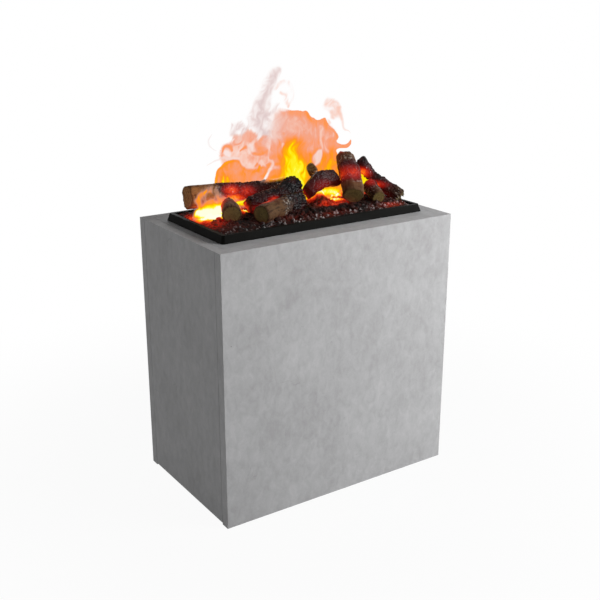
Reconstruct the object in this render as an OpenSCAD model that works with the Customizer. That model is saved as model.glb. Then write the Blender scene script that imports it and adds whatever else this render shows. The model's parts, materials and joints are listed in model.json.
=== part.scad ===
// Water vapour fireplace: a board plinth, a mist cassette hung in its top, and a lift-off bed of logs.
// The origin is the middle of the footprint on the floor. +Z is up and the front faces -Y.

/* [Plinth] */
// Width of the plinth
plinth_w = 500; // [484:1:620]
// Depth of the plinth
plinth_d = 306; // [290:1:400]
// Height of the plinth, up to the face that carries the log bed
plinth_h = 510; // [440:1:720]
// Thickness of the boards
board_t = 19; // [16:0.5:22]
// Open seam between neighbouring boards
seam = 0.6; // [0.3:0.1:0.9]
// Chamfer along the boards' long edges
arris = 0.5; // [0.2:0.1:1]
// Gap under the two side panels
side_lift = 3; // [1:0.5:6]
// Side of the square corner battens and cleats
batten = 22; // [18:1:24]
// Height of the underside of the base panel
base_z = 12; // [8:1:30]

/* [Back of the plinth] */
// Width of the air opening
vent_w = 236; // [160:1:280]
// Height of the air opening
vent_h = 60; // [40:1:90]
// Height of the middle of the air opening
vent_z = 110; // [100:1:150]
// Thickness of the grille plate
grille_t = 1.5; // [1:0.25:2]
// Width that the grille plate overlaps the board
grille_lap = 12; // [10:1:16]
// Bore radius of the cable outlet
outlet_r = 10; // [8:0.5:12]
// Sideways place of the cable outlet
outlet_x = 165; // [158:1:180]

/* [Cassette] */
// Width of the cassette's steel housing
cas_w = 400; // [396:1:404]
// Depth of the cassette's steel housing
cas_d = 176; // [174:1:182]
// Height of the housing below the top face
cas_h = 174; // [172:1:200]
// Sheet thickness of the housing
sheet_t = 1.2; // [0.8:0.1:1.5]
// Width of the flange that the housing hangs from
flange_w = 10; // [9:0.5:11]
// Thickness of the flange
flange_t = 1.5; // [1:0.25:2]
// Clearance round the housing in its cut-out
cut_gap = 2; // [1:0.5:3]

/* [Mist maker] */
// Sideways place of the middle of the basin
basin_x = -10; // [-14:1:-6]
// Depth place of the vapour slot and of the basin below it
slot_y = 28; // [26:0.5:29]
// Length of the basin
basin_w = 220; // [210:1:226]
// Width of the basin
basin_d = 94; // [88:1:96]
// Height of the basin
basin_h = 95; // [88:1:100]
// Wall of the moulded plastic parts
wall = 2.5; // [2:0.25:3]
// Radius of each ultrasonic disc
disc_r = 10; // [8:0.5:12]
// Length of the nozzle's mouth
mouth_l = 200; // [160:1:204]
// Width of the nozzle's mouth
mouth_w = 14; // [10:1:16]
// Travel of the water level float
float_travel = 14; // [8:1:18]

/* [Fan] */
// Side of the square fan frame
fan_side = 60; // [56:1:62]
// Depth of the fan frame
fan_t = 15; // [12:1:20]
// Number of fan blades
fan_blades = 7; // [5:1:9]
// Clearance round the tips of the blades
tip_gap = 1; // [0.6:0.1:1.5]
// Radius of the fan's hub
hub_r = 11; // [9:0.5:12]

/* [Water tank] */
// Length of the tank
tank_l = 286; // [240:1:288]
// Width of the tank
tank_d = 56; // [50:1:57]
// Height of the tank
tank_h = 110; // [90:1:112]
// Height of the tank's underside above the housing floor
tank_lift = 50; // [48:1:52]
// Sideways place of the tank's cap
cap_x = -45; // [-50:1:-30]
// Radius of the tank's screw cap
cap_r = 21; // [20:0.5:22]
// Stroke of the valve in the cap
valve_stroke = 4; // [3:0.5:5]

/* [Controls] */
// Place of the wall between the tank bay and the electronics
bay_x = 110; // [108:1:112]
// Radius of the push buttons
button_r = 6; // [4.5:0.5:6.5]
// Pitch of the push buttons
button_pitch = 20; // [17:0.5:22]
// Travel of the push buttons
button_travel = 1.2; // [0.6:0.1:1.5]
// Swing of the rocker from on to off
rocker_swing = 14; // [8:1:16]

/* [Fuel bed] */
// Width of the tray at its foot
tray_w = 438; // [434:1:450]
// Depth of the tray at its foot
tray_d = 209; // [206:1:216]
// Height of the tray
tray_h = 14; // [12:0.5:20]
// Inward lean of the tray's outer faces
tray_bevel = 4; // [2:0.5:6]
// Width of the tray's flat rim
rim_w = 7; // [5:0.5:9]
// Number of facets round each log
log_sides = 14; // [10:1:18]
// Height of the vapour plume above the plinth
plume_h = 296; // [230:1:340]
// Thickness of the layer of mist that fills the slot
mist_t = 1.6; // [1.2:0.2:3]

/* [Hidden] */
$fn = 48;

board_grey = [0.62, 0.62, 0.61];
steel_grey = [0.55, 0.56, 0.58];
plastic_black = [0.08, 0.08, 0.09];
char_black = [0.1, 0.09, 0.09];
bark_brown = [0.34, 0.22, 0.14];
flame_orange = [1, 0.62, 0.3];

fit_gap = 0.3;
slide_gap = 0.05;

// Plinth
in_w = plinth_w - 2 * board_t;
in_d = plinth_d - 2 * board_t;
cut_w = cas_w + 2 * cut_gap;
cut_d = cas_d + 2 * cut_gap;
top_under = plinth_h - board_t;
batten_x = in_w / 2 - batten / 2;
batten_y = in_d / 2 - batten / 2;
// Share of the room beside the cut-out that an end cleat fills
cleat_share = 0.75;
end_cleat_w = cleat_share * (in_w - cut_w) / 2;
base_top = base_z + board_t;
rebate = 3.5;
grommet_lip = 3;
grommet_wall = 5;
grille_screw_x = vent_w / 2 + grille_lap / 2;
grille_screw_z = vent_h / 2 + grille_lap / 2;
pilot_r = 1.4;
wood_screw_l = 14;

// Cassette
housing_floor = plinth_h - cas_h + sheet_t;
hx = cas_w / 2 - sheet_t;
hy = cas_d / 2 - sheet_t;
corner_r = 5;
flange_screws_x = [-cas_w / 2 + 40, 0, cas_w / 2 - 40];
flange_screw_y = cas_d / 2 + flange_w * 0.55;
flange_hole_r = 2.1;
flange_head_r = 3.2;

// Mist maker
basin_top = housing_floor + basin_h;
basin_floor = housing_floor + wall;
basin_left = basin_x - basin_w / 2;
plate_t = 3;
nozzle_base = basin_top + plate_t;
nozzle_foot_d = 66;
tray_floor_z = plinth_h + flange_t + 2.5;
mouth_top = tray_floor_z - 3;
disc_x = [basin_x - 50, basin_x + 40];
body_r = disc_r + 12;
body_h = 14;
float_x = basin_x + basin_w / 2 - 18;
stem_r = 2.5;
stop_r = 5;
stop_t = 2;
float_r = 9;
float_h = 12;
port_z = basin_top - 36;
port_h = 30;
port_w = 40;

// Fan
fan_x = basin_left - 12 - fan_side / 2;
fan_z = housing_floor;
fan_bore_r = fan_side / 2 - 2;
fan_screw_at = fan_side / 2 - 5;
fan_hole_r = 2.2;
motor_z = 4;
spindle_r = 1.5;
duct_h = basin_top - 4 - fan_z - fan_t;
duct_wall = 2;
filter_t = 4;
guard_t = 1.5;

// Water tank
tank_z = housing_floor + tank_lift + fit_gap;
// Share of the bay's spare length that lies on the tank's outer side
tank_share = 0.35;
tank_x = -hx + tank_l / 2 + tank_share * (bay_x + hx - tank_l);
tank_y = -hy + 5 + tank_d / 2;
well_half = cap_r + 9;
cap_y = tank_y;
neck_r = cap_r - 4;
neck_in = neck_r - 3.5;
neck_l = 10;
seal_t = 2;
cap_floor = 2.5;
cap_deck = tank_z - neck_l - seal_t;
valve_hole_r = 5.5;
plunger_r = 9;
plunger_t = 2;
valve_stem_r = 2.5;
stem_below = 10;
plunger_z = cap_deck + fit_gap + valve_stroke;
cage_z = tank_z + 3;
cage_t = 2;
post_top = plunger_z - stem_below - fit_gap;
grip_l = 90;
grip_w = 38;
grip_depth = 22;
grip_r = 5;
cradle_x = [tank_x - tank_l / 2 + 30, tank_x + tank_l / 2 - 30];

// Lamps
lamp_l = mouth_l + 70;
lamp_w = 14;
lamp_offset = 24;
lamp_x = bay_x - 14 - lamp_l / 2;
lamp_z = tray_floor_z - 17;
lamp_t = 1.6;
led_count = 8;
led_r = 3;
cover_h = 8;
cover_t = 1.2;
bracket_x = [basin_x - 85, basin_x + 85];
bracket_t = 1.5;
bracket_w = 12;
bracket_out = 15;
bracket_foot = 6;

// Controls
panel_z = plinth_h - 9;
panel_t = 3;
panel_d = 76;
panel_x0 = bay_x + sheet_t + fit_gap;
panel_x1 = hx - fit_gap;
panel_y0 = -hy + fit_gap;
panel_mid = (panel_x0 + panel_x1) / 2;
button_y = panel_y0 + 20;
button_flange = 1.3;
button_proud = 2.5;
pcb_t = 1.6;
pcb_z = panel_z - 12;
standoff_at = 7;
tact_gap = button_travel + 0.4;
switch_x = panel_x0 + 24;
switch_y = panel_y0 + 52;
bezel_w = 21;
bezel_d = 13;
bezel_lip = 1.5;
bezel_depth = 12;
rocker_w = 18.8;
rocker_d = 5.2;
rocker_pin_r = 1.5;
rocker_z = panel_z + panel_t - 0.6;
window_x = panel_x1 - 20;
window_r = 5;
inlet_x = (bay_x + hx) / 2;
inlet_z = housing_floor + 84;
inlet_w = 27;
inlet_h = 19;
inlet_deep = 18;
inlet_wall = 1.6;
psu_gap = 10;
psu_w = hx - bay_x - 2 * psu_gap;
psu_d = 52;
psu_h = 34;

// Fuel bed
tray_floor_t = 2;
pocket_w = tray_w - 2 * (tray_bevel + rim_w);
pocket_d = tray_d - 2 * (tray_bevel + rim_w);
bed_z = tray_floor_z + tray_floor_t;
tray_slot_l = mouth_l + 16;
tray_slot_w = mouth_w;
bed_slot_w = mouth_w + 4;
light_slot_l = lamp_l - 10;
light_slot_w = lamp_w - 2;
rim_z = plinth_h + tray_h;
bed_nx = 34;
bed_ny = 15;

// Logs: foot end, head end, radius at each end, seed of the bark, and how round the ends are worn
back_left = [[-192, 67, 40], [41, 54, 35], 23, 17, 3, 0.2];
cross_log = [[-106, -5, 35], [4, 6, 53], 14, 18, 8, 0.6];
small_left = [[-163, -35, 31], [-140, 12, 36], 17, 13, 5, 0.15];
front_centre = [[-117, -67, 31], [-9, -25, 34], 17, 16, 1, 0.2];
centre = [[23, -3, 47], [90, 5, 60], 13, 20, 6, 0.6];
stub = [[73, 52, 62], [102, 77, 27], 11, 12, 9, 0.3];
leaning = [[97, -47, 35], [136, 34, 92], 20, 17, 2, 0.15];
right_long = [[156, 24, 74], [203, -54, 22], 13, 12, 7, 0.5];
small_right = [[148, -60, 27], [155, -17, 36], 14, 11, 4, 0.2];
all_logs = [back_left, cross_log, small_left, front_centre, centre, stub, leaning, right_long,
  small_right];

// Vapour tongues: foot or root, tip, greatest half width and half depth, and sideways sway
tongues = [
  [[-84, 28, 0], [-168, 38, 150], 38, 15, 8],
  [[-64, 28, 0], [-122, 34, 186], 44, 17, -9],
  [[-38, 28, 0], [-66, 30, 200], 46, 18, 7],
  [[-8, 28, 0], [20, 34, 204], 60, 20, -8],
  [[30, 28, 0], [64, 30, 180], 44, 16, 6],
  [[58, 28, 0], [106, 36, 198], 30, 12, 9],
  [[-28, 30, 110], [-28, 36, 296], 24, 11, -14],
  [[70, 34, 84], [148, 52, 112], 12, 8, 5]];
// Height above the plinth where the vapour is clear of the logs and spreads out
spread_z = 84;

function mix(a, b, t) = a + (b - a) * t;
function unit(v) = v / norm(v);

// Triangles of a closed loft: rings of n points, m steps, each ring seen anticlockwise from ahead
function loft_faces(n, m) = concat(
  [[for (j = [0:n - 1]) j]],
  [for (i = [0:m - 1], j = [0:n - 1]) [i * n + j, (i + 1) * n + j, (i + 1) * n + (j + 1) % n]],
  [for (i = [0:m - 1], j = [0:n - 1]) [i * n + j, (i + 1) * n + (j + 1) % n, i * n + (j + 1) % n]],
  [[for (j = [n - 1:-1:0]) m * n + j]]);

// Rectangle with round corners, from circles and squares so that its arcs stay true
module round_rect(w, d, r) {
  if (w > 2 * r) square([w - 2 * r, d], center = true);
  if (d > 2 * r) square([w, d - 2 * r], center = true);
  for (x = [-1, 1], y = [-1, 1]) translate([x * (w / 2 - r), y * (d / 2 - r)]) circle(r);
}

module plate(w, d, r, z, t) {
  translate([0, 0, z]) linear_extrude(t) round_rect(w, d, r);
}

// Upright board with its long edges taken off
module board(w, d, z0, z1) {
  x = w / 2;
  y = d / 2;
  translate([0, 0, z0]) linear_extrude(z1 - z0) polygon([[-x + arris, -y], [x - arris, -y],
    [x, -y + arris], [x, y - arris], [x - arris, y], [-x + arris, y], [-x, y - arris], [-x, -y + arris]]);
}

module front_panel() {
  color(board_grey) translate([0, -plinth_d / 2 + board_t / 2, 0]) board(plinth_w, board_t, 0, plinth_h);
}

module back_panel() {
  color(board_grey) difference() {
    translate([0, plinth_d / 2 - board_t / 2, 0]) board(plinth_w, board_t, 0, plinth_h);
    back_cut(vent_w, vent_h, board_t + 2);
    back_cut(vent_w + 2 * grille_lap + 2 * fit_gap, vent_h + 2 * grille_lap + 2 * fit_gap, rebate);
    outlet_cut(outlet_r + grommet_wall + slide_gap, board_t + 2);
    outlet_cut(outlet_r + 2 * grommet_wall + slide_gap, grommet_lip);
    for (x = [-1, 1], z = [-1, 1]) translate([x * grille_screw_x, plinth_d / 2, vent_z + z * grille_screw_z])
      rotate([90, 0, 0]) cylinder(r = pilot_r, h = wood_screw_l + rebate, center = false);
  }
}

module back_cut(w, h, deep) {
  translate([0, plinth_d / 2 + 1, vent_z]) rotate([90, 0, 0]) linear_extrude(deep + 1) round_rect(w, h, 4);
}

module outlet_cut(r, deep) {
  translate([outlet_x, plinth_d / 2 + 1, vent_z]) rotate([90, 0, 0]) cylinder(r = r, h = deep + 1);
}

module side_panel(side) {
  color(board_grey) translate([side * (plinth_w - board_t) / 2, 0, 0])
    board(board_t, in_d - 2 * seam, side_lift, plinth_h);
}

module left_panel() { side_panel(-1); }

module right_panel() { side_panel(1); }

module top_panel() {
  color(board_grey) difference() {
    translate([0, 0, top_under]) linear_extrude(board_t) difference() {
      square([in_w - 2 * seam, in_d - 2 * seam], center = true);
      round_rect(cut_w, cut_d, corner_r + cut_gap);
    }
    flange_holes(pilot_r, wood_screw_l + 1);
  }
}

module flange_holes(r, deep) {
  for (x = flange_screws_x, y = [-1, 1]) translate([x, y * flange_screw_y, plinth_h - deep + 1])
    cylinder(r = r, h = deep + flange_t);
}

module base_panel() {
  color(board_grey) translate([0, 0, base_z]) linear_extrude(board_t) difference() {
    square([in_w - 2 * seam, in_d - 2 * seam], center = true);
    for (x = [-1, 1]) translate([x * in_w / 4, 0]) round_rect(in_w / 3, in_d / 4, in_d / 8);
  }
}

module corner_battens() {
  color("burlywood") for (x = [-1, 1], y = [-1, 1]) translate([x * batten_x, y * batten_y, base_top])
    linear_extrude(top_under - base_top) square(batten, center = true);
}

module top_cleats() {
  color("burlywood") translate([0, 0, top_under - batten]) {
    for (y = [-1, 1]) translate([0, y * batten_y, batten / 2])
      cube([in_w - 2 * batten, batten, batten], center = true);
    for (x = [-1, 1]) translate([x * (in_w - end_cleat_w) / 2, 0, batten / 2])
      cube([end_cleat_w, in_d - 2 * batten, batten], center = true);
  }
}

module vent_grille() {
  slots = 2 * floor(vent_w / 24) + 1;
  color(steel_grey) translate([0, plinth_d / 2 - rebate + grille_t, vent_z]) rotate([90, 0, 0])
    linear_extrude(grille_t) difference() {
      round_rect(vent_w + 2 * grille_lap, vent_h + 2 * grille_lap, 4);
      for (i = [0:slots - 1]) translate([(i - (slots - 1) / 2) * 11, 0]) round_rect(6, vent_h - 10, 3);
      for (x = [-1, 1], z = [-1, 1]) translate([x * grille_screw_x, z * grille_screw_z])
        circle(pilot_r + fit_gap);
    }
}

module grille_screws() {
  color("silver") for (x = [-1, 1], z = [-1, 1])
    translate([x * grille_screw_x, plinth_d / 2 - rebate + grille_t, vent_z + z * grille_screw_z])
      rotate([90, 0, 0]) wood_screw(rebate - grille_t - fit_gap);
}

// Pan headed screw along +Z, with a cross slot in a head that stands up to -head
module wood_screw(head) {
  difference() {
    translate([0, 0, -head]) cylinder(r = 3, h = head);
    for (a = [0, 90]) rotate(a) translate([0, 0, -head]) cube([3.6, 0.8, head], center = true);
  }
  cylinder(r = pilot_r - slide_gap, h = wood_screw_l - 2);
}

module cable_grommet() {
  color(plastic_black) translate([outlet_x, plinth_d / 2, vent_z]) rotate([90, 0, 0]) rotate_extrude()
    polygon([[outlet_r, 0], [outlet_r + 2 * grommet_wall - 1, 0], [outlet_r + 2 * grommet_wall, 1],
      [outlet_r + 2 * grommet_wall, grommet_lip], [outlet_r + grommet_wall, grommet_lip],
      [outlet_r + grommet_wall, board_t], [outlet_r, board_t]]);
}

module cassette_housing() {
  color(steel_grey) difference() {
    union() {
      translate([0, 0, plinth_h - cas_h]) linear_extrude(cas_h) difference() {
        round_rect(cas_w, cas_d, corner_r);
        round_rect(2 * hx, 2 * hy, corner_r - sheet_t);
      }
      plate(cas_w, cas_d, corner_r, plinth_h - cas_h, sheet_t);
      translate([0, 0, plinth_h]) linear_extrude(flange_t) difference() {
        round_rect(cas_w + 2 * flange_w, cas_d + 2 * flange_w, corner_r + 3);
        round_rect(2 * hx, 2 * hy, corner_r - sheet_t);
      }
    }
    flange_holes(flange_hole_r, board_t);
    translate([fan_x, slot_y, plinth_h - cas_h - 1]) cylinder(r = fan_bore_r, h = sheet_t + 2);
    fan_holes(plinth_h - cas_h - 1, sheet_t + 2);
    translate([inlet_x, cas_d / 2 + 1, inlet_z]) rotate([90, 0, 0])
      linear_extrude(sheet_t + 2) square([inlet_w + 2 * fit_gap, inlet_h + 2 * fit_gap], center = true);
    for (i = [-3:3]) translate([cas_w / 2, i * 12, housing_floor + 60])
      rotate([0, 90, 0]) linear_extrude(2 * sheet_t + 2, center = true) round_rect(30, 5, 2.5);
  }
}

module fan_holes(z, h) {
  for (x = [-1, 1], y = [-1, 1]) translate([fan_x + x * fan_screw_at, slot_y + y * fan_screw_at, z])
    cylinder(r = fan_hole_r, h = h);
}

module flange_screws() {
  color("silver") for (x = flange_screws_x, y = [-1, 1])
    translate([x, y * flange_screw_y, plinth_h + flange_t]) rotate([180, 0, 0]) difference() {
      union() {
        translate([0, 0, -1.4]) cylinder(r1 = flange_head_r - 0.8, r2 = flange_head_r, h = 1.4);
        cylinder(r = pilot_r - slide_gap, h = wood_screw_l - 2);
      }
      for (a = [0, 90]) rotate(a) translate([0, 0, -1.4]) cube([3.4, 0.7, 1.6], center = true);
    }
}

module basin_outline(inset) {
  translate([basin_x, slot_y]) round_rect(basin_w - 2 * inset, basin_d - 2 * inset, 8 - inset);
}

module well_outline(inset) {
  y1 = slot_y - basin_d / 2 + 8;
  y0 = cap_y - well_half;
  translate([cap_x, (y0 + y1) / 2]) square([2 * well_half - 2 * inset, y1 - y0 - 2 * inset], center = true);
}

module sump() {
  color([0.75, 0.77, 0.78]) difference() {
    union() {
      translate([0, 0, housing_floor]) linear_extrude(basin_h) basin_outline(0);
      translate([0, 0, housing_floor]) linear_extrude(tank_lift) well_outline(0);
    }
    translate([0, 0, basin_floor]) linear_extrude(basin_h) basin_outline(wall);
    difference() {
      translate([cap_x, cap_y, basin_floor]) cylinder(r = well_half - wall, h = basin_h);
      translate([cap_x, cap_y, basin_floor]) cylinder(r = 3, h = post_top - basin_floor);
    }
    translate([cap_x - 8, cap_y + 8, basin_floor]) cube([16, slot_y - cap_y - 8, 12]);
    translate([basin_left - 1, slot_y - port_w / 2, port_z]) cube([wall + 2, port_w, port_h]);
  }
}

module transducer_bodies() {
  color(plastic_black) for (x = disc_x) translate([x, slot_y, basin_floor]) rotate_extrude()
    polygon([[0, 0], [body_r, 0], [body_r, body_h - 3], [body_r - 3, body_h],
      [disc_r + 3, body_h], [disc_r + fit_gap, body_h - 3], [0, body_h - 3]]);
}

module transducer_discs() {
  color("gold") for (x = disc_x) translate([x, slot_y, basin_floor + body_h - 3]) {
    cylinder(r = disc_r, h = 1);
    cylinder(r = disc_r / 2, h = 1.4);
  }
}

module float_stem() {
  color(plastic_black) translate([float_x, slot_y, basin_floor]) {
    cylinder(r = stem_r, h = 2 * stop_t + float_h + float_travel + 1);
    cylinder(r = stop_r, h = stop_t);
    translate([0, 0, stop_t + 2 * fit_gap + float_h + float_travel]) cylinder(r = stop_r, h = stop_t);
  }
}

module level_float() {
  color("ivory") translate([float_x, slot_y, basin_floor + stop_t + fit_gap]) rotate_extrude() polygon([
    [stem_r + fit_gap, 0], [float_r - 1.5, 0], [float_r, 1.5], [float_r, float_h - 1.5],
    [float_r - 1.5, float_h], [stem_r + fit_gap, float_h]]);
}

// Chimney from the basin's lid up to the mouth, as a tapered shell
module chimney(grow, z0, z1) {
  hull() {
    translate([0, 0, z0]) linear_extrude(0.01) round_rect(mouth_l + 2 * grow, nozzle_foot_d + 2 * grow, 3);
    translate([0, 0, z1 - 8]) linear_extrude(8) round_rect(mouth_l + 2 * grow, mouth_w + 2 * grow, 3);
  }
}

module vapour_nozzle() {
  color(plastic_black) translate([basin_x, slot_y, 0]) difference() {
    union() {
      plate(basin_w, basin_d, 8, basin_top, plate_t);
      chimney(2, nozzle_base - 1, mouth_top);
    }
    chimney(0, nozzle_base - 1, mouth_top + 1);
    plate(mouth_l, nozzle_foot_d, 3, basin_top - 1, plate_t + 0.5);
  }
}

module air_duct() {
  x0 = fan_x - fan_side / 2;
  len = basin_left - x0;
  color([0.25, 0.25, 0.27]) difference() {
    translate([x0, slot_y - fan_side / 2, fan_z + fan_t]) cube([len, fan_side, duct_h]);
    translate([x0 + duct_wall, slot_y - fan_side / 2 + duct_wall, fan_z + fan_t + duct_wall])
      cube([len - 2 * duct_wall, fan_side - 2 * duct_wall, duct_h - 2 * duct_wall]);
    translate([fan_x, slot_y, fan_z + fan_t - 1]) cylinder(r = fan_bore_r, h = duct_wall + 2);
    translate([basin_left - duct_wall - 1, slot_y - port_w / 2, port_z])
      cube([duct_wall + 2, port_w, port_h]);
  }
}

module fan_frame() {
  color(plastic_black) difference() {
    union() {
      difference() {
        translate([fan_x, slot_y, fan_z]) linear_extrude(fan_t) round_rect(fan_side, fan_side, 4);
        translate([fan_x, slot_y, fan_z - 1]) cylinder(r = fan_bore_r, h = fan_t + 2);
      }
      translate([fan_x, slot_y, fan_z]) {
        cylinder(r = hub_r, h = motor_z - fit_gap);
        for (a = [30, 150, 270]) rotate(a) translate([hub_r - 1, -1.5, 0])
          cube([fan_bore_r - hub_r + 1.5, 3, motor_z - fit_gap]);
      }
    }
    translate([fan_x, slot_y, fan_z - 1]) cylinder(r = spindle_r + slide_gap, h = motor_z + 2);
    fan_holes(fan_z - 1, fan_t + 2);
  }
}

// Blade: a thin cambered section carried outwards, with less pitch towards the tip
module fan_blade() {
  steps = 5;
  side = 4;
  r0 = hub_r - 1;
  r1 = fan_bore_r - tip_gap;
  height = fan_t - motor_z - 1.5;
  rings = [for (i = [0:steps]) let (s = i / steps, r = mix(r0, r1, s), pitch = mix(52, 34, s),
      half = mix(5.4, 8.6, s))
    [for (j = [0:2 * side + 1]) let (front = j <= side, k = front ? j : 2 * side + 1 - j,
        c = 2 * k / side - 1, camber = 1.1 * (1 - c * c), off = front ? -0.45 : 0.45,
        a = c * half, b = camber + off)
      [r, a * cos(pitch) - b * sin(pitch),
        min(height / 2, max(-height / 2, a * sin(pitch) + b * cos(pitch)))]]];
  polyhedron([for (ring = rings, p = ring) p], loft_faces(2 * side + 2, steps));
}

module fan_rotor() {
  color([0.2, 0.2, 0.22]) translate([fan_x, slot_y, fan_z]) {
    translate([0, 0, motor_z]) cylinder(r = hub_r, h = fan_t - motor_z - 1);
    cylinder(r = spindle_r, h = motor_z + 1);
    for (i = [0:fan_blades - 1]) rotate(i * 360 / fan_blades)
      translate([0, 0, motor_z + (fan_t - motor_z - 1) / 2]) fan_blade();
  }
}

module fan_guard() {
  ear = fan_screw_at * sqrt(2);
  color("silver") translate([fan_x, slot_y, plinth_h - cas_h - filter_t - guard_t]) linear_extrude(guard_t)
    difference() {
      union() {
        for (r = [8, 16, fan_bore_r - 4]) difference() {
          circle(r + 1);
          circle(r - 1);
        }
        for (a = [45:90:315]) rotate(a) {
          translate([8, -1]) square([ear - 8, 2]);
          translate([ear, 0]) circle(4);
        }
      }
      for (a = [45:90:315]) rotate(a) translate([ear, 0]) circle(fan_hole_r);
    }
}

module fan_screws() {
  z = plinth_h - cas_h - filter_t - guard_t;
  color("silver") for (x = [-1, 1], y = [-1, 1])
    translate([fan_x + x * fan_screw_at, slot_y + y * fan_screw_at, z]) {
      translate([0, 0, -2]) cylinder(r = 3.5, h = 2);
      cylinder(r = fan_hole_r - slide_gap, h = filter_t + sheet_t + guard_t + fan_t - 2);
    }
}

module air_filter() {
  color([0.3, 0.3, 0.32]) difference() {
    translate([fan_x, slot_y, plinth_h - cas_h - filter_t]) linear_extrude(filter_t)
      round_rect(fan_side, fan_side, 3);
    fan_holes(plinth_h - cas_h - filter_t - 1, filter_t + 2);
  }
}

module lamp_brackets() {
  color(steel_grey) for (x = bracket_x, side = [-1, 1]) translate([x - bracket_w / 2, slot_y + side * lamp_offset, 0]) {
    y = side * bracket_out;
    translate([0, y + (side < 0 ? 0 : -bracket_t), nozzle_base]) cube([bracket_w, bracket_t, lamp_z - nozzle_base]);
    translate([0, side < 0 ? y - bracket_foot : y - bracket_t, nozzle_base])
      cube([bracket_w, bracket_foot + bracket_t, bracket_t]);
    translate([0, side < 0 ? y : -lamp_w / 2, lamp_z - bracket_t])
      cube([bracket_w, bracket_out + lamp_w / 2, bracket_t]);
  }
}

module lamp_boards() {
  color("white") for (side = [-1, 1]) translate([lamp_x, slot_y + side * lamp_offset, lamp_z])
    linear_extrude(lamp_t) square([lamp_l, lamp_w], center = true);
}

module lamp_leds() {
  color("orange") for (side = [-1, 1], i = [0:led_count - 1])
    translate([lamp_x + (i - (led_count - 1) / 2) * lamp_l / led_count,
      slot_y + side * lamp_offset, lamp_z + lamp_t]) rotate_extrude()
        polygon([[0, 0], [led_r, 0], [led_r, 1], [led_r * 0.8, 2], [led_r * 0.4, 2.7], [0, 3]]);
}

module lamp_covers() {
  outer = lamp_w / 2;
  color([1, 0.8, 0.4, 0.5]) for (side = [-1, 1])
    translate([lamp_x - lamp_l / 2, slot_y + side * lamp_offset, lamp_z + lamp_t])
      rotate([90, 0, 90]) linear_extrude(lamp_l) polygon([[-outer, 0], [-outer, cover_h - 2],
        [-outer + 2, cover_h], [outer - 2, cover_h], [outer, cover_h - 2], [outer, 0], [outer - cover_t, 0],
        [outer - cover_t, cover_h - 2.5], [outer - 2.5, cover_h - cover_t], [-outer + 2.5, cover_h - cover_t],
        [-outer + cover_t, cover_h - 2.5], [-outer + cover_t, 0]]);
}

module bay_divider() {
  color(steel_grey) translate([bay_x, 0, housing_floor]) {
    translate([0, -hy + fit_gap, 0]) cube([sheet_t, 2 * hy - 2 * fit_gap, panel_z - housing_floor + panel_t]);
    translate([sheet_t, -hy + fit_gap, 0]) cube([8, 2 * hy - 2 * fit_gap, sheet_t]);
    translate([sheet_t, -hy + fit_gap, panel_z - housing_floor - sheet_t]) cube([6, panel_d, sheet_t]);
  }
}

module control_panel() {
  color(plastic_black) difference() {
    translate([0, 0, panel_z]) linear_extrude(panel_t) intersection() {
      translate([panel_x0, panel_y0]) square([panel_x1 - panel_x0, panel_d]);
      round_rect(2 * hx - 2 * fit_gap, 2 * hy - 2 * fit_gap, corner_r - sheet_t);
    }
    for (i = [-1:1]) translate([panel_mid + i * button_pitch, button_y, panel_z - 1])
      cylinder(r = button_r + fit_gap, h = panel_t + 2);
    translate([switch_x, switch_y, panel_z - 1]) linear_extrude(panel_t + 2)
      square([bezel_w + 2 * fit_gap, bezel_d + 2 * fit_gap], center = true);
    translate([window_x, switch_y, panel_z - 1]) cylinder(r = window_r + slide_gap, h = panel_t + 2);
  }
}

module push_button(i) {
  face = fit_gap + panel_t + button_proud;
  color([0.75, 0.75, 0.76]) translate([panel_mid + i * button_pitch, button_y, panel_z - fit_gap])
    rotate_extrude() polygon([[0, -button_flange], [button_r + 1.5, -button_flange], [button_r + 1.5, 0],
      [button_r, 0], [button_r, face - 0.8], [button_r - 0.8, face], [button_r * 0.6, face - 0.3],
      [0, face - 0.6]]);
}

module standby_button() { push_button(-1); }

module flame_up_button() { push_button(0); }

module flame_down_button() { push_button(1); }

pcb_w = panel_x1 - panel_x0 - 10;
pcb_d = panel_d - 2;
pcb_x0 = panel_x0 + 8;
pcb_cut = bezel_d + 4;

module pcb_outline() {
  difference() {
    translate([pcb_x0, panel_y0 + 1]) square([pcb_w - 4, pcb_d]);
    translate([switch_x - bezel_w / 2 - 3, switch_y - pcb_cut / 2]) square([bezel_w + 6, pcb_cut]);
  }
}

function standoffs() = [for (x = [pcb_x0 + standoff_at - 3, pcb_x0 + pcb_w - 4 - standoff_at + 3],
  y = [panel_y0 + standoff_at, panel_y0 + panel_d - standoff_at]) [x, y]];

module control_board() {
  color("darkgreen") translate([0, 0, pcb_z]) linear_extrude(pcb_t) difference() {
    pcb_outline();
    for (p = standoffs()) translate(p) circle(1.5);
  }
}

module board_standoffs() {
  color("white") for (p = standoffs()) translate([p[0], p[1], 0]) {
    translate([0, 0, pcb_z + pcb_t]) cylinder(r = 3, h = panel_z - pcb_z - pcb_t);
    translate([0, 0, pcb_z - 1]) cylinder(r = 1.5 - slide_gap, h = pcb_t + 1);
  }
}

module board_components() {
  deck = pcb_z + pcb_t;
  tact_h = panel_z - fit_gap - button_flange - tact_gap - deck;
  color([0.15, 0.15, 0.16]) {
    for (i = [-1:1]) translate([panel_mid + i * button_pitch, button_y, deck]) {
      translate([-3, -3, 0]) cube([6, 6, tact_h - 1.2]);
      cylinder(r = 1.7, h = tact_h);
    }
    translate([window_x - 9, switch_y - 2, pcb_z - 9]) cube([16, 12, 9]);
    translate([panel_mid - 6, button_y + 10, pcb_z - 2]) cube([12, 8, 2]);
    for (i = [0:2]) translate([panel_mid + 6 + 9 * i, button_y - 10, pcb_z - 11]) cylinder(r = 3.5, h = 11);
  }
}

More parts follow.
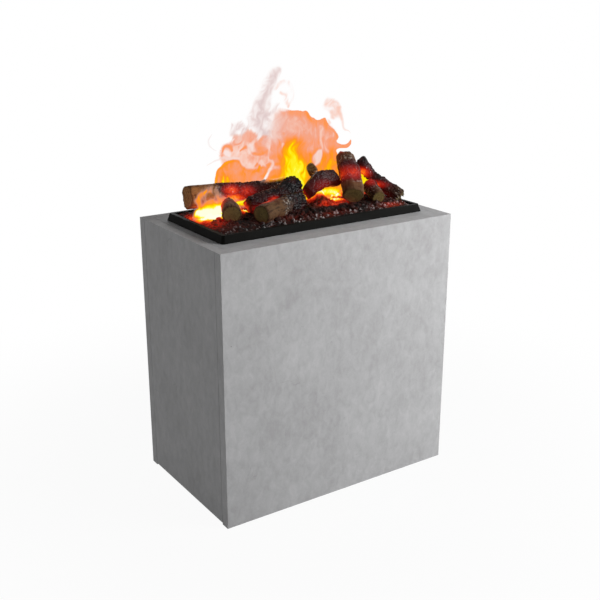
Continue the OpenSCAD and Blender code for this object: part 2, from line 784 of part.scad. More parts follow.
module switch_bezel() {
  color(plastic_black) translate([switch_x, switch_y, 0]) difference() {
    union() {
      plate(bezel_w + 3, bezel_d + 3, 1.5, panel_z + panel_t, bezel_lip);
      translate([0, 0, panel_z + panel_t - bezel_depth]) linear_extrude(bezel_depth)
        square([bezel_w, bezel_d], center = true);
    }
    translate([0, 0, panel_z + panel_t - bezel_depth + 1]) linear_extrude(bezel_depth + 3)
      square([rocker_w + 2 * fit_gap, 2 * rocker_d + 1.6], center = true);
    translate([0, 0, rocker_z]) rotate([0, 90, 0])
      cylinder(r = rocker_pin_r + slide_gap, h = bezel_w - 0.6, center = true);
  }
}

module switch_rocker() {
  color([0.6, 0.1, 0.08]) translate([switch_x, switch_y, rocker_z]) {
    rotate([90, 0, 90]) linear_extrude(rocker_w, center = true) rotate(-rocker_swing / 2)
      polygon([[-rocker_d, 2.2], [0, 1.7], [rocker_d, 2.2], [rocker_d * 0.85, -3.4],
        [-rocker_d * 0.85, -3.4]]);
    rotate([0, 90, 0]) cylinder(r = rocker_pin_r, h = bezel_w - 1, center = true);
  }
}

module infrared_window() {
  color([0.15, 0.02, 0.04]) translate([window_x, switch_y, panel_z]) rotate_extrude()
    polygon([[0, 0], [window_r, 0], [window_r, panel_t], [window_r * 0.7, panel_t + 1], [0, panel_t + 1.4]]);
}

module power_supply() {
  slot_pitch = (psu_w - 14) / 6;
  y0 = hy - 6 - psu_d;
  color([0.2, 0.2, 0.21]) translate([bay_x + psu_gap, y0, housing_floor]) {
    difference() {
      cube([psu_w, psu_d, psu_h]);
      for (i = [0:5]) translate([8 + i * slot_pitch, 8, psu_h - 2]) cube([4, psu_d - 16, 3]);
    }
    translate([6, -10, 0]) cube([psu_w - 12, 10, 14]);
  }
}

module power_inlet() {
  color(plastic_black) translate([inlet_x, cas_d / 2, inlet_z]) rotate([90, 0, 0]) difference() {
    union() {
      translate([0, 0, -2.5]) linear_extrude(2.5) round_rect(inlet_w + 20, inlet_h + 5, 4);
      linear_extrude(inlet_deep) square([inlet_w, inlet_h], center = true);
    }
    translate([0, 0, -3]) linear_extrude(inlet_deep)
      square([inlet_w - 2 * inlet_wall, inlet_h - 2 * inlet_wall], center = true);
    for (x = [-1, 1]) translate([x * (inlet_w / 2 + 5), 0, -3]) cylinder(r = 1.7, h = 4);
  }
}

module inlet_blades() {
  color("silver") for (p = [[-7, -2], [0, 2], [7, -2]])
    translate([inlet_x + p[0] - 1, cas_d / 2 - inlet_deep + 3, inlet_z + p[1] - 2]) cube([2, 8, 4]);
}

module tank_cradle() {
  color(steel_grey) for (x = cradle_x) translate([x, tank_y, housing_floor]) rotate([90, 0, 0])
    linear_extrude(tank_d - 10, center = true) difference() {
      translate([-10, 0]) square([20, tank_lift]);
      translate([-10 + bracket_t, -1]) square([20 - 2 * bracket_t, tank_lift + 1 - bracket_t]);
    }
}

module tank_outline(inset) {
  translate([tank_x, tank_y]) round_rect(tank_l - 2 * inset, tank_d - 2 * inset, 10 - inset);
}

module grip_outline(grow) {
  translate([tank_x, tank_y]) round_rect(grip_l + 2 * grow, grip_w + 2 * grow, 6 + grow);
}

module water_tank() {
  top = tank_z + tank_h;
  color([0.7, 0.82, 0.9, 0.6]) difference() {
    union() {
      translate([0, 0, tank_z]) linear_extrude(tank_h) tank_outline(0);
      translate([cap_x, cap_y, tank_z - neck_l]) cylinder(r = neck_r, h = neck_l);
    }
    difference() {
      translate([0, 0, tank_z + wall]) linear_extrude(tank_h - 2 * wall) tank_outline(wall);
      translate([0, 0, top - grip_depth - wall]) linear_extrude(grip_depth) grip_outline(wall);
    }
    translate([cap_x, cap_y, tank_z - neck_l - 1]) cylinder(r = neck_in, h = neck_l + wall + 2);
    translate([0, 0, top - grip_depth]) linear_extrude(grip_depth + 1) grip_outline(0);
  }
}

module tank_handle() {
  color([0.2, 0.3, 0.45]) translate([tank_x, tank_y, tank_z + tank_h - grip_r - 2]) rotate([0, 90, 0])
    cylinder(r = grip_r, h = grip_l - 2 * slide_gap, center = true);
}

// Screw cap with the valve's cage standing in the neck
module tank_cap() {
  color([0.15, 0.3, 0.6]) translate([cap_x, cap_y, 0]) {
    difference() {
      translate([0, 0, cap_deck - cap_floor]) union() {
        cylinder(r = cap_r, h = cap_floor + seal_t + neck_l - 1);
        for (i = [0:17]) rotate(i * 20) translate([cap_r, 0, 0]) cylinder(r = 1, h = cap_floor + neck_l - 2);
      }
      translate([0, 0, cap_deck]) cylinder(r = neck_r + fit_gap, h = neck_l + 5);
      translate([0, 0, cap_deck - cap_floor - 1]) cylinder(r = valve_hole_r, h = cap_floor + 2);
    }
    for (a = [0, 120, 240]) rotate(a) translate([neck_in - 2.4, -1.5, cap_deck])
      cube([1.8, 3, cage_z - cap_deck]);
    difference() {
      translate([0, 0, cage_z]) cylinder(r = neck_in - 0.6, h = cage_t);
      for (a = [0:60:300]) rotate(a) translate([neck_in * 0.55, 0, cage_z - 1])
        cylinder(r = 2.4, h = cage_t + 2);
    }
  }
}

module tank_seal() {
  color("firebrick") translate([cap_x, cap_y, cap_deck]) difference() {
    cylinder(r = neck_r, h = seal_t);
    translate([0, 0, -1]) cylinder(r = neck_in, h = seal_t + 2);
  }
}

module valve_plunger() {
  color("white") translate([cap_x, cap_y, plunger_z]) {
    cylinder(r = plunger_r, h = plunger_t);
    cylinder(r = 3, h = plunger_t + 2);
    translate([0, 0, -stem_below]) cylinder(r = valve_stem_r, h = stem_below + 1);
  }
}

// Closing spring: three open turns of wire between the plunger and the cage
module valve_spring() {
  wire = 0.5;
  coil_r = 5;
  turns = 3;
  per_turn = 14;
  around = 6;
  z0 = plunger_z + plunger_t + fit_gap + wire;
  rise = cage_z - fit_gap - wire - z0;
  count = turns * per_turn;
  color("silver") translate([cap_x, cap_y, z0]) polyhedron(
    [for (i = [0:count]) let (a = i * 360 / per_turn, z = rise * i / count) for (j = [0:around - 1])
      let (b = -j * 360 / around, r = coil_r + wire * cos(b)) [r * cos(a), r * sin(a), z + wire * sin(b)]],
    loft_faces(around, count));
}

module fuel_bed_tray() {
  color(char_black) difference() {
    hull() {
      plate(tray_w, tray_d, 6, plinth_h, 0.5);
      plate(tray_w - 2 * tray_bevel, tray_d - 2 * tray_bevel, 5, rim_z - 0.5, 0.5);
    }
    plate(pocket_w, pocket_d, 1, bed_z, tray_h);
    plate(tray_w - 2 * tray_bevel - 2, tray_d - 2 * tray_bevel - 2, 2, plinth_h - 1,
      tray_floor_z - plinth_h + 1);
    translate([basin_x, slot_y, tray_floor_z - 1]) linear_extrude(tray_floor_t + 2)
      round_rect(tray_slot_l, tray_slot_w, 3);
    for (side = [-1, 1]) translate([lamp_x, slot_y + side * lamp_offset, tray_floor_z - 1])
      linear_extrude(tray_floor_t + 2) round_rect(light_slot_l, light_slot_w, 3);
  }
}

module tray_pads() {
  color(plastic_black) for (x = [-1, 1], y = [-1, 1])
    translate([x * (cas_w + flange_w) / 2, y * (cas_d + flange_w) / 2, plinth_h + flange_t])
      cylinder(r = flange_w / 2 - 1, h = tray_floor_z - plinth_h - flange_t);
}

// Bark of a log at an angle and a share of its length: 1 at the crests, less in the furrows
function bark(a, s, seed) = 0.93 + 0.035 * sin(3 * a + 47 * seed + 60 * s)
  + 0.025 * sin(5 * a + 31 * seed - 90 * s) + 0.01 * sin(400 * s + 90 * seed + 2 * a);

function log_ring(log, s, grow) = let (
    d = unit(log[1] - log[0]),
    u = unit(cross([0, 0, 1], d)),
    v = cross(d, u),
    edge = min(s, 1 - s),
    worn = 1 - log[5] * 0.45 * pow(max(0, 1 - edge / 0.12), 2),
    bow = 2.5 * sin(180 * s) * sin(70 * log[4]),
    r = mix(log[2], log[3], s) * worn,
    cap = edge > 0 ? 0 : s < 0.5 ? -grow : grow,
    c = mix(log[0], log[1], s) + bow * u + [0, 0, plinth_h] + cap * d)
  [for (j = [0:log_sides - 1]) let (a = j * 360 / log_sides)
    c + (r * bark(a, s, log[4]) + grow) * (cos(a) * u + sin(a) * v)];

module log_piece(log, grow = 0) {
  stations = [0, 0.04, 0.12, 0.26, 0.42, 0.58, 0.74, 0.88, 0.96, 1];
  polyhedron([for (s = stations, p = log_ring(log, s, grow)) p],
    loft_faces(log_sides, len(stations) - 1));
}

// Height of the moulded embers above their underside, with lumps of coal between the logs
lump_x = rands(-0.46, 0.46, 26, 11);
lump_y = rands(-0.44, 0.44, 26, 12);
lump_r = rands(9, 17, 26, 13);
lump_h = rands(3, 8, 26, 14);
function lump(x, y) = max([for (i = [0:len(lump_x) - 1]) let (
    q = pow(x - lump_x[i] * pocket_w, 2) + pow(y - lump_y[i] * pocket_d, 2))
  lump_h[i] * exp(-q / pow(lump_r[i], 2))]);
// Heaps that carry the logs lying off the bed: place, spread and height above the plinth
heaps = [[48, 1, 26, 45], [-52, 1, 24, 37]];
function heap(x, y) = max([for (h = heaps)
  h[3] * exp(-(pow(x - h[0], 2) + pow(y - h[1], 2)) / pow(h[2], 2))]);
function ember_height(x, y) = let (
    edge_x = min(1, (pocket_w / 2 - abs(x)) / 40),
    edge_y = min(1, (pocket_d / 2 - abs(y)) / 34),
    mound = sqrt(max(0, edge_x * edge_y)))
  max(heap(x, y) + plinth_h - bed_z, rim_z - bed_z - 3.5 + 10 * mound
    + 1.2 * sin(11 * x + 3 * y) * cos(13 * y - 2 * x) + lump(x, y) * mound);

module ember_field() {
  w = pocket_w / 2 - fit_gap;
  d = pocket_d / 2 - fit_gap;
  ring = bed_ny + 3;
  polyhedron([for (i = [0:bed_nx], j = [0:ring - 1]) let (
      x = mix(-w, w, i / bed_nx),
      y = j == 0 ? -d : j == 1 ? d : mix(d, -d, (j - 2) / bed_ny))
    [x, y, j < 2 ? bed_z : bed_z + ember_height(x, y)]],
    loft_faces(ring, bed_nx));
}

module ember_bed() {
  color([0.25, 0.1, 0.06]) difference() {
    ember_field();
    translate([basin_x, slot_y, bed_z]) cube([tray_slot_l, bed_slot_w, 80], center = true);
    for (log = all_logs) log_piece(log, 2 * fit_gap / 1.5);
  }
}

module log_back_left() { color(bark_brown) log_piece(back_left); }

module log_cross() { color(char_black) log_piece(cross_log); }

module log_small_left() { color(bark_brown) log_piece(small_left); }

module log_front_centre() { color(bark_brown) log_piece(front_centre); }

module logs_centre() {
  color(char_black) {
    log_piece(centre);
    log_piece(stub);
  }
}

module logs_right() {
  color(bark_brown) {
    log_piece(leaning);
    log_piece(right_long);
    log_piece(small_right);
  }
}

// One tongue of lit vapour: rings that swell above the logs, sway, and close at the tip
module tongue(t) {
  sides = 12;
  steps = 12;
  foot = t[0][2] == 0 ? bed_z + fit_gap + 1 : plinth_h + t[0][2] * plume_h / 296;
  tip = plinth_h + t[1][2] * plume_h / 296;
  rings = [for (i = [0:steps]) let (s = i / steps,
      z = mix(foot, tip, s),
      free = max(0, min(1, (z - plinth_h - spread_z) / 45)),
      rise = max(0, min(1, (z - rim_z - 14) / 70)),
      round_tip = max(0.06, sqrt(1 - pow(s, 1.6))),
      rx = mix(12, t[2], rise) * round_tip,
      ry = mix(4.5, t[3], free) * round_tip,
      x = mix(t[0][0], t[1][0], pow(s, 1.2)) + t[4] * sin(360 * s) * s,
      y = mix(t[0][1], t[1][1], s * free))
    [for (j = [0:sides - 1]) let (a = j * 360 / sides) [x + rx * cos(a), y + ry * sin(a), z]]];
  polyhedron([for (ring = rings, p = ring) p], loft_faces(sides, steps));
}

module vapour_flames() {
  color(flame_orange) union() {
    translate([basin_x, slot_y, bed_z + fit_gap]) linear_extrude(mist_t)
      square([tray_slot_l - 2 * fit_gap, bed_slot_w - 2 * fit_gap], center = true);
    for (t = tongues) tongue(t);
  }
}

front_panel();
back_panel();
left_panel();
right_panel();
top_panel();
base_panel();
corner_battens();
top_cleats();
vent_grille();
grille_screws();
cable_grommet();
cassette_housing();
flange_screws();
sump();
transducer_bodies();
transducer_discs();
float_stem();
level_float();
vapour_nozzle();
air_duct();
fan_frame();
fan_rotor();
fan_guard();
fan_screws();
air_filter();
lamp_brackets();
lamp_boards();
lamp_leds();
lamp_covers();
bay_divider();
control_panel();
control_board();
board_standoffs();
board_components();
standby_button();
flame_up_button();
flame_down_button();
switch_bezel();
switch_rocker();
infrared_window();
power_supply();
power_inlet();
inlet_blades();
tank_cradle();
water_tank();
tank_handle();
tank_cap();
tank_seal();
valve_plunger();
valve_spring();
fuel_bed_tray();
tray_pads();
ember_bed();
log_back_left();
log_cross();
log_small_left();
log_front_centre();
logs_centre();
logs_right();
vapour_flames();
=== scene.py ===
# %% [markdown]
# A water vapour fireplace
#
# A concrete-effect plinth carries a black tray of moulded logs and embers. Ultrasonic mist rises
# through a slot in the tray and is lit from below, so that it looks like flames. This notebook
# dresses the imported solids: boards and inner parts keep their shape and get finishes, while logs,
# embers and vapour are worked out again as fine surfaces, because their charm is in bark, cracks
# and wisps.

# %% Load the frame
import json
import math

import bpy
import numpy as np
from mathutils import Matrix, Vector


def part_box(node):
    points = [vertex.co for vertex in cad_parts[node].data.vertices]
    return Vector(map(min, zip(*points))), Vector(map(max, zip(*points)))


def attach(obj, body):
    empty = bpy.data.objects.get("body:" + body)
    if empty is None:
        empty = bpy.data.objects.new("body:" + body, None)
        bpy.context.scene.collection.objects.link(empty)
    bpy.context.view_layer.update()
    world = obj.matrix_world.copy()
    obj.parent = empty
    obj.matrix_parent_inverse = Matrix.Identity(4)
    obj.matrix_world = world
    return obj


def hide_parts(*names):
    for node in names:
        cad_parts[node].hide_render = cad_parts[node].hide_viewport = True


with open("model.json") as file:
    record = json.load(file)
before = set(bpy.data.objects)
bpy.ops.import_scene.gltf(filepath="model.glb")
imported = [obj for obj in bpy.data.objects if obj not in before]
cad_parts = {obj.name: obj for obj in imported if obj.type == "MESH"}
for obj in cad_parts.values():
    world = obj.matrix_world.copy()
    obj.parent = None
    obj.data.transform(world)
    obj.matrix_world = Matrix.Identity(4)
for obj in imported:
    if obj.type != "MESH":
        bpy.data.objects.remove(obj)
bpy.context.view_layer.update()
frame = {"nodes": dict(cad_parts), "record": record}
MM = 0.001
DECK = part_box("front_panel")[1].z / MM
print("nodes", len(frame["nodes"]), "plinth height in mm", round(DECK, 1))

# %% [markdown]
# Points become a mesh
#
# Every new piece here is a grid of points worked out with numpy, in millimetres. The mesh could be
# made with bmesh, vertex by vertex, but handing whole arrays over is far quicker. A grid may close
# round on itself and end in a point at both ends, so that a log has no open seam, and a stack of
# such grids is one piece of many lumps.

# %% Grid to mesh


def link(name, data):
    """An object with this mesh, lamp or camera, put in the scene."""
    made = bpy.data.objects.new(name, data)
    bpy.context.scene.collection.objects.link(made)
    return made


def piece(name, grid, body, slot, closed=True, marks=None, keep=None, finish=None):
    """Puts points, (rows, columns, 3) or a stack of such grids, into a mesh of quads. A closed grid
    wraps round and ends in fans of triangles. marks are values per point that the finish reads, and
    keep says which points hold a surface."""
    grids = grid.reshape(-1, *grid.shape[-3:])
    index = np.arange(grids[..., 0].size).reshape(grids.shape[:-1])
    left, right = index[..., :-1], index[..., 1:]
    points, fans = grids.reshape(-1, 3), np.zeros((0, 3), int)
    if closed:
        left, right = index, np.roll(index, -1, axis=-1)
        tips = len(points) + np.arange(2 * len(grids)).reshape(2, -1, 1) + 0 * index[0, 0]
        first = np.stack([tips[0], right[:, 0], left[:, 0]], axis=-1)
        last = np.stack([tips[1], left[:, -1], right[:, -1]], axis=-1)
        fans = np.vstack([first, last]).reshape(-1, 3)
        points = np.vstack([points, grids[:, 0].mean(1), grids[:, -1].mean(1)])
    quads = [left[:, :-1], right[:, :-1], right[:, 1:], left[:, 1:]]
    quads = np.stack(quads, axis=-1).reshape(-1, 4)
    if keep is not None:
        quads = quads[keep.ravel()[quads].any(axis=1)]
    used = np.unique(np.concatenate([quads.ravel(), fans.ravel()]))
    renumber = np.zeros(len(points), int)
    renumber[used] = np.arange(len(used))
    faces = renumber[quads].tolist() + renumber[fans].tolist()
    mesh = bpy.data.meshes.new(name)
    mesh.from_pydata(points[used] * MM, [], faces)
    mesh.shade_smooth()
    for mark, values in (marks or {}).items():
        values = values.reshape(index.shape)
        ends = [values[:, 0].mean(1), values[:, -1].mean(1)] if closed else []
        values = np.concatenate([values.ravel(), *ends])[used]
        layer = mesh.attributes.new(mark, "FLOAT", "POINT")
        layer.data.foreach_set("value", values.astype(np.float32))
    mesh.materials.append(finish or finishes[slot])
    made = link(name, mesh)
    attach(made, body)
    print(name, len(used), "points", len(quads) * 2 + len(fans), "triangles")
    return made


# %% [markdown]
# Chance, but the same chance every time
#
# Bark, cinders and wisps are irregular. Blender's own noise works point by point, so three kinds of
# noise are written for whole arrays: smooth grain, grain in layers from coarse to fine, and cells,
# which give the crackle of charred wood and the rounded lumps of cinders.

# %% Noise on arrays
FACTORS = (374761393, 668265263, 2147483647, 144269504)
SCRAMBLE, WORD, HALF_WORD = (1274126177, 2246822519), 0xFFFFFFFF, 0xFFFF


def hashed(cell, seed):
    """A value from 0 to 1 for each whole-numbered cell, by multiplying and mixing its numbers."""
    mix = sum(cell[..., k] * FACTORS[k] for k in range(3)) + seed * FACTORS[3]
    mix = (mix ^ (mix >> 13)) * SCRAMBLE[0] & WORD
    mix = (mix ^ (mix >> 16)) * SCRAMBLE[1] & WORD
    return ((mix >> 8) & HALF_WORD) / HALF_WORD


def grain(p, seed=0):
    """Smooth noise: the values of the eight cells round a point, blended by 3f^2 - 2f^3."""
    cell = np.floor(p).astype(np.int64)
    f = p - cell
    f = f * f * (3 - 2 * f)
    total = np.zeros(p.shape[:-1])
    for corner in np.ndindex(2, 2, 2):
        share = np.prod(np.where(corner, f, 1 - f), axis=-1)
        total += share * hashed(cell + np.array(corner), seed)
    return total


def layers(p, seed=0, count=4):
    """Grain summed over count layers, each twice as fine and half as strong, scaled to 0..1."""
    total = sum(grain(p * 2 ** k, seed + k) / 2 ** k for k in range(count))
    return total / sum(0.5 ** k for k in range(count))


def cells(p, seed=0):
    """Distances to the nearest and second nearest of points scattered one to a cell, and the
    nearest's value."""
    cell = np.floor(p).astype(np.int64)
    near = np.full(p.shape[:-1], 9.0)
    second = near.copy()
    value = np.zeros(p.shape[:-1])
    for step in np.ndindex(3, 3, 3):
        other = cell + np.array(step) - 1
        spot = other + np.stack([hashed(other, seed + k) for k in (11, 12, 13)], axis=-1)
        away = np.linalg.norm(p - spot, axis=-1)
        closer = away < near
        second = np.where(closer, near, np.minimum(second, away))
        value = np.where(closer, hashed(other, seed + 14), value)
        near = np.where(closer, away, near)
    return near, second, value


def rise(t, low, high):
    """0 below low, 1 above high and a smooth S between."""
    f = np.clip((t - low) / (high - low), 0, 1)
    return f * f * (3 - 2 * f)


def xyz(*parts):
    """Coordinates side by side as one array of points."""
    return np.stack(np.broadcast_arrays(*parts), axis=-1)


line = xyz(np.linspace(0, 40, 400), 0.5, 0.5)
print("grain runs from", grain(line).min().round(2), "to", grain(line).max().round(2))

# %% [markdown]
# Writing finishes as sums
#
# A node tree is quicker to read as a formula. Wire wraps a socket, so that a sum on it adds Math
# nodes, and Mixer.add makes any other node from its settings and the values of its sockets. Colours
# go through Mix nodes, because a Math node would turn them grey, and are written as a screen shows
# them, 0 to 255.

# %% Wires and mixers


def tone(red, green, blue):
    """A colour as a screen shows it, 0 to 255, in the linear light that Blender mixes."""
    shares = [c / 255 for c in (red, green, blue)]
    light = [c / 12.92 if c <= 0.04045 else ((c + 0.055) / 1.055) ** 2.4 for c in shares]
    return (*light, 1.0)


class Wire:
    """A socket in a formula."""

    def __init__(self, mixer, socket):
        self.mixer, self.socket = mixer, socket

    def sum(self, kind, first, second):
        return self.mixer.add("Math", {"operation": kind}, {0: first, 1: second})

    def __add__(self, other):
        return self.sum("ADD", self, other)

    def __sub__(self, other):
        return self.sum("SUBTRACT", self, other)

    def __rsub__(self, other):
        return self.sum("SUBTRACT", other, self)

    def __mul__(self, other):
        return self.sum("MULTIPLY", self, other)

    __radd__, __rmul__ = __add__, __mul__


class Mixer:
    """Adds nodes to one tree."""

    def __init__(self, tree):
        self.tree = tree

    def feed(self, socket, value):
        if isinstance(value, Wire):
            self.tree.links.new(value.socket, socket)
        else:
            plain = socket.type == "RGBA" and len(value) == 3
            socket.default_value = tone(*value) if plain else value

    def add(self, kind, settings=None, inputs=None, out=0):
        node = self.tree.nodes.new("ShaderNode" + kind)
        for key, value in (settings or {}).items():
            if key == "stops":  # of a band of colours
                band = node.color_ramp.elements
                while len(band) < len(value):
                    band.new(1.0)
                for stop, (place, colour) in zip(band, value):
                    stop.position, stop.color = place, tone(*colour)
            else:
                setattr(node, key, value)
        for key, value in (inputs or {}).items():
            self.feed(node.inputs[key], value)
        return Wire(self, node.outputs[out])

    def place(self, stretch=(1, 1, 1)):
        """The point on the piece, in metres, stretched along its axes."""
        spot = self.add("TexCoord", out="Object")
        return self.add("VectorMath", {"operation": "MULTIPLY"}, {0: spot, 1: stretch})

    def noise(self, size, detail=4.0, rough=0.55, stretch=(1, 1, 1), twist=0.0):
        """Noise whose features are about size metres across."""
        inputs = {"Vector": self.place(stretch), "Scale": 1 / size, "Detail": detail}
        inputs |= {"Roughness": rough, "Distortion": twist}
        return self.add("TexNoise", {}, inputs)

    def spots(self, size, stretch=(1, 1, 1)):
        """Distance to the nearest of points about size metres apart, in shares of size."""
        return self.add("TexVoronoi", {}, {"Vector": self.place(stretch), "Scale": 1 / size})

    def mark(self, name):
        """A value that the piece's points carry."""
        return self.add("Attribute", {"attribute_name": name}, out="Fac")

    def ramp(self, value, low, high):
        """0 at low, 1 at high and a smooth S between, falling where low is the greater."""
        inputs = {"Value": value, "From Min": low, "From Max": high}
        return self.add("MapRange", {"interpolation_type": "SMOOTHSTEP"}, inputs)

    def blend(self, share, first, second):
        """Two colours mixed: a Mix node has its colours in sockets 6 and 7 and gives them in 2."""
        return self.add("Mix", {"data_type": "RGBA"}, {0: share, 6: first, 7: second}, out=2)

    def band(self, value, stops):
        return self.add("ValToRGB", {"stops": stops}, {0: value})


class Finish(Mixer):
    """One material with a Principled shader."""

    def __init__(self, name, **fixed):
        self.material = bpy.data.materials.new(name)
        self.material.use_nodes = True
        super().__init__(self.material.node_tree)
        self.shader = self.tree.nodes["Principled BSDF"]
        self.set(**fixed)

    def set(self, **values):
        for key, value in values.items():
            self.feed(self.shader.inputs[key.replace("_", " ")], value)

    def relief(self, height, depth, strength=1.0):
        """Bump: height from 0 to 1 stands for depth metres."""
        inputs = {"Height": height, "Distance": depth, "Strength": strength}
        self.set(Normal=self.add("Bump", {}, inputs))


print("a screen's middle grey in linear light", [round(c, 3) for c in tone(128, 128, 128)])

# %% [markdown]
# Concrete-effect boards
#
# The plinth is board with a thin trowelled cement coat. On the real one the grey drifts in soft
# clouds a hand wide, with faint strokes of the trowel, a few pits and hairlines, and a smooth feel.
# A tiled picture would repeat and show seams at the corners. Noise at four sizes, worked out in
# space, does neither. Sizes and depths are in metres, as in all finishes.

# %% Concrete


def concrete():
    f = Finish("trowelled_concrete")
    clouds = f.noise(0.16, 5, 0.55, twist=0.8)
    strokes = f.noise(0.03, 5, 0.6, (0.45, 1, 0.3), 1.5)
    mottle = f.noise(0.011, 4, 0.6, (0.8, 0.8, 0.5), 0.6)
    dust_and_glints = f.noise(0.0035, 3, 0.7)
    grey = f.band(0.26 * clouds + 0.26 * strokes + 0.36 * mottle + 0.12 * dust_and_glints, [
        (0.36, (154, 153, 154)), (0.5, (168, 168, 169)), (0.64, (181, 181, 182))])
    pits = f.ramp(f.spots(0.034), 0.045, 0.02) * f.ramp(f.noise(0.05), 0.52, 0.6)
    drift = f.noise(0.09, 3, 0.5, twist=1.2)
    line = f.add("Math", {"operation": "ABSOLUTE"}, {0: drift - 0.5})
    hair = f.ramp(line, 0.0035, 0.0) * f.ramp(f.noise(0.07, 2), 0.56, 0.66)
    flecks = f.ramp(f.spots(0.047, (1, 1.3, 1)), 0.025, 0.012)
    flecks = flecks * f.ramp(f.noise(0.06, 2), 0.55, 0.62)
    grey = f.blend(pits * 0.55, grey, (92, 90, 88))
    grey = f.blend(hair * 0.4, grey, (110, 109, 108))
    grey = f.blend(flecks * 0.5, grey, (214, 214, 214))
    f.set(Base_Color=grey, Roughness=0.62 + 0.2 * strokes, Specular_IOR_Level=0.3)
    f.relief(0.5 * strokes + 0.3 * dust_and_glints - 0.8 * pits - 0.3 * hair, 0.0006, 0.5)
    return f.material


finishes = {"concrete_board": concrete()}
print("finishes", list(finishes))

# %% [markdown]
# Plain makers' finishes
#
# Most parts inside are sheet steel, moulded plastic, rubber or wood. Each kind gets one function:
# what differs is the colour, the shine and the size of its grain. Moulded plastic has a fine
# spark-eroded texture, painted steel a slight orange peel, timber long rings.

# %% Moulded, painted and turned


def shaded(colour, share, lift=0.0):
    """A colour made darker or paler by a share, in linear light."""
    return tuple(min(1.0, c * share + lift) for c in tone(*colour)[:3]) + (1.0,)


def moulded(name, colour, rough=0.45, size=0.0012, depth=0.00012, **fixed):
    """Moulded plastic or rubber: a fine leathery texture and a slow drift of shade."""
    f = Finish(name, **fixed)
    texture = f.noise(size, 3, 0.6)
    drift = f.noise(0.04, 3)
    f.set(Base_Color=f.blend(0.35 * drift + 0.5 * texture, shaded(colour, 0.72), colour))
    f.set(Roughness=rough + 0.12 * (texture - 0.5) + 0.1 * (drift - 0.5))
    f.relief(texture, depth, 0.6)
    return f.material


def painted(name, colour, rough, **fixed):
    """Painted steel: orange peel in the paint, and paler patches of dust and rubs."""
    f = Finish(name, **fixed)
    skin = f.noise(0.0025, 2, 0.5)
    rubs = f.ramp(f.noise(0.03, 5, 0.65, (1, 1, 0.4)), 0.55, 0.75)
    f.set(Base_Color=f.blend(rubs * 0.35, colour, shaded(colour, 1.7, 0.02)))
    f.set(Roughness=rough + 0.2 * rubs)
    f.relief(skin, 0.0001, 0.5)
    return f.material


def bright(name, colour, rough=0.25, stretch=(1, 1, 0.05)):
    """Bare metal, turned or drawn: fine lines one way, and a shine that varies along them."""
    f = Finish(name, Metallic=1.0)
    lines = f.noise(0.0006, 3, 0.6, stretch)
    haze = f.noise(0.012, 3)
    f.set(Base_Color=f.blend(lines * 0.5 + haze * 0.3, shaded(colour, 0.7), colour))
    f.set(Roughness=rough + 0.25 * haze * lines)
    f.relief(lines, 0.00005, 0.4)
    return f.material


def timber(name, light, dark, stretch, size=0.004):
    """Planed softwood: long rings along the piece, and pores."""
    f = Finish(name)
    rings = f.noise(size, 4, 0.6, stretch, 0.6)
    pores = f.noise(0.0008, 2, 0.7, stretch)
    f.set(Base_Color=f.blend(f.ramp(rings, 0.35, 0.65), light, dark))
    f.set(Roughness=0.6 + 0.2 * pores)
    f.relief(0.6 * rings + 0.4 * pores, 0.0003, 0.6)
    return f.material


def see_through(name, colour, alpha, rough=0.12):
    """Clear moulding: light passes, the surface has flow lines and small scratches."""
    f = Finish(name, Roughness=rough)
    flow = f.noise(0.02, 4, 0.6, (1, 1, 0.3), 0.8)
    scratches = f.ramp(f.noise(0.003, 4, 0.8), 0.6, 0.8)
    f.set(Base_Color=colour, Alpha=alpha + 0.12 * (flow - 0.5) + 0.1 * scratches)
    f.relief(flow, 0.0002, 0.3)
    return f.material


finishes |= {
    "raw_board": timber("pressed_board", (186, 164, 132), (150, 126, 94), (1, 1, 1), 0.003),
    "timber": timber("planed_pine", (214, 184, 140), (176, 138, 92), (1, 1, 0.08)),
    "grille_steel": painted("grille_paint", (58, 59, 61), 0.45),
    "screw_steel": bright("zinc_screw", (196, 198, 202), 0.3),
    "black_rubber": moulded("black_rubber", (34, 34, 35), 0.75, 0.0016),
    "black_sheet": painted("black_sheet", (40, 40, 42), 0.5, Specular_IOR_Level=0.12),
    "basin_plastic": moulded("basin_plastic", (176, 180, 184), 0.4),
    "black_plastic": moulded("black_plastic", (38, 38, 40), 0.5, Specular_IOR_Level=0.25),
    "disc_metal": bright("disc_metal", (206, 176, 112), 0.25, (1, 1, 1)),
    "float_plastic": moulded("float_plastic", (226, 222, 210), 0.5),
    "rotor_plastic": moulded("rotor_plastic", (52, 52, 55), 0.38),
    "guard_wire": bright("guard_wire", (202, 204, 208), 0.2, (1, 1, 1)),
    "lamp_board": moulded("lamp_board", (224, 226, 222), 0.35, 0.0008),
    "button_plastic": moulded("button_plastic", (150, 151, 155), 0.35, 0.0008),
    "rocker_plastic": moulded("rocker_plastic", (34, 34, 36), 0.2, 0.0008),
    "red_window": moulded("red_window", (74, 8, 14), 0.08, 0.004, 4e-5, Coat_Weight=0.6),
    "brass_blade": bright("brass_blade", (216, 186, 118), 0.2),
    "blue_plastic": moulded("blue_plastic", (52, 92, 156), 0.35),
    "seal_rubber": moulded("seal_rubber", (132, 46, 36), 0.7, 0.0016),
    "tank_plastic": see_through("tank_plastic", (186, 214, 232), 0.42),
    "amber_cover": see_through("amber_cover", (255, 168, 60), 0.5, 0.3),
}
print("finishes so far", len(finishes))

# %% [markdown]
# Foam, circuit board, lamps and the tray's paint
#
# Four finishes need a pattern of their own: the filter's open foam, the board's tracks under green
# lacquer, the lamps that light the mist, and the tray, whose satin black is dusty with ash in
# patches.

# %% Four special finishes


def foam():
    f = Finish("filter_foam", Roughness=0.95)
    holes = f.spots(0.0016)
    f.set(Base_Color=f.blend(f.ramp(holes, 0.2, 0.7), (24, 24, 26), (74, 74, 78)))
    f.relief(holes, 0.0008)
    return f.material


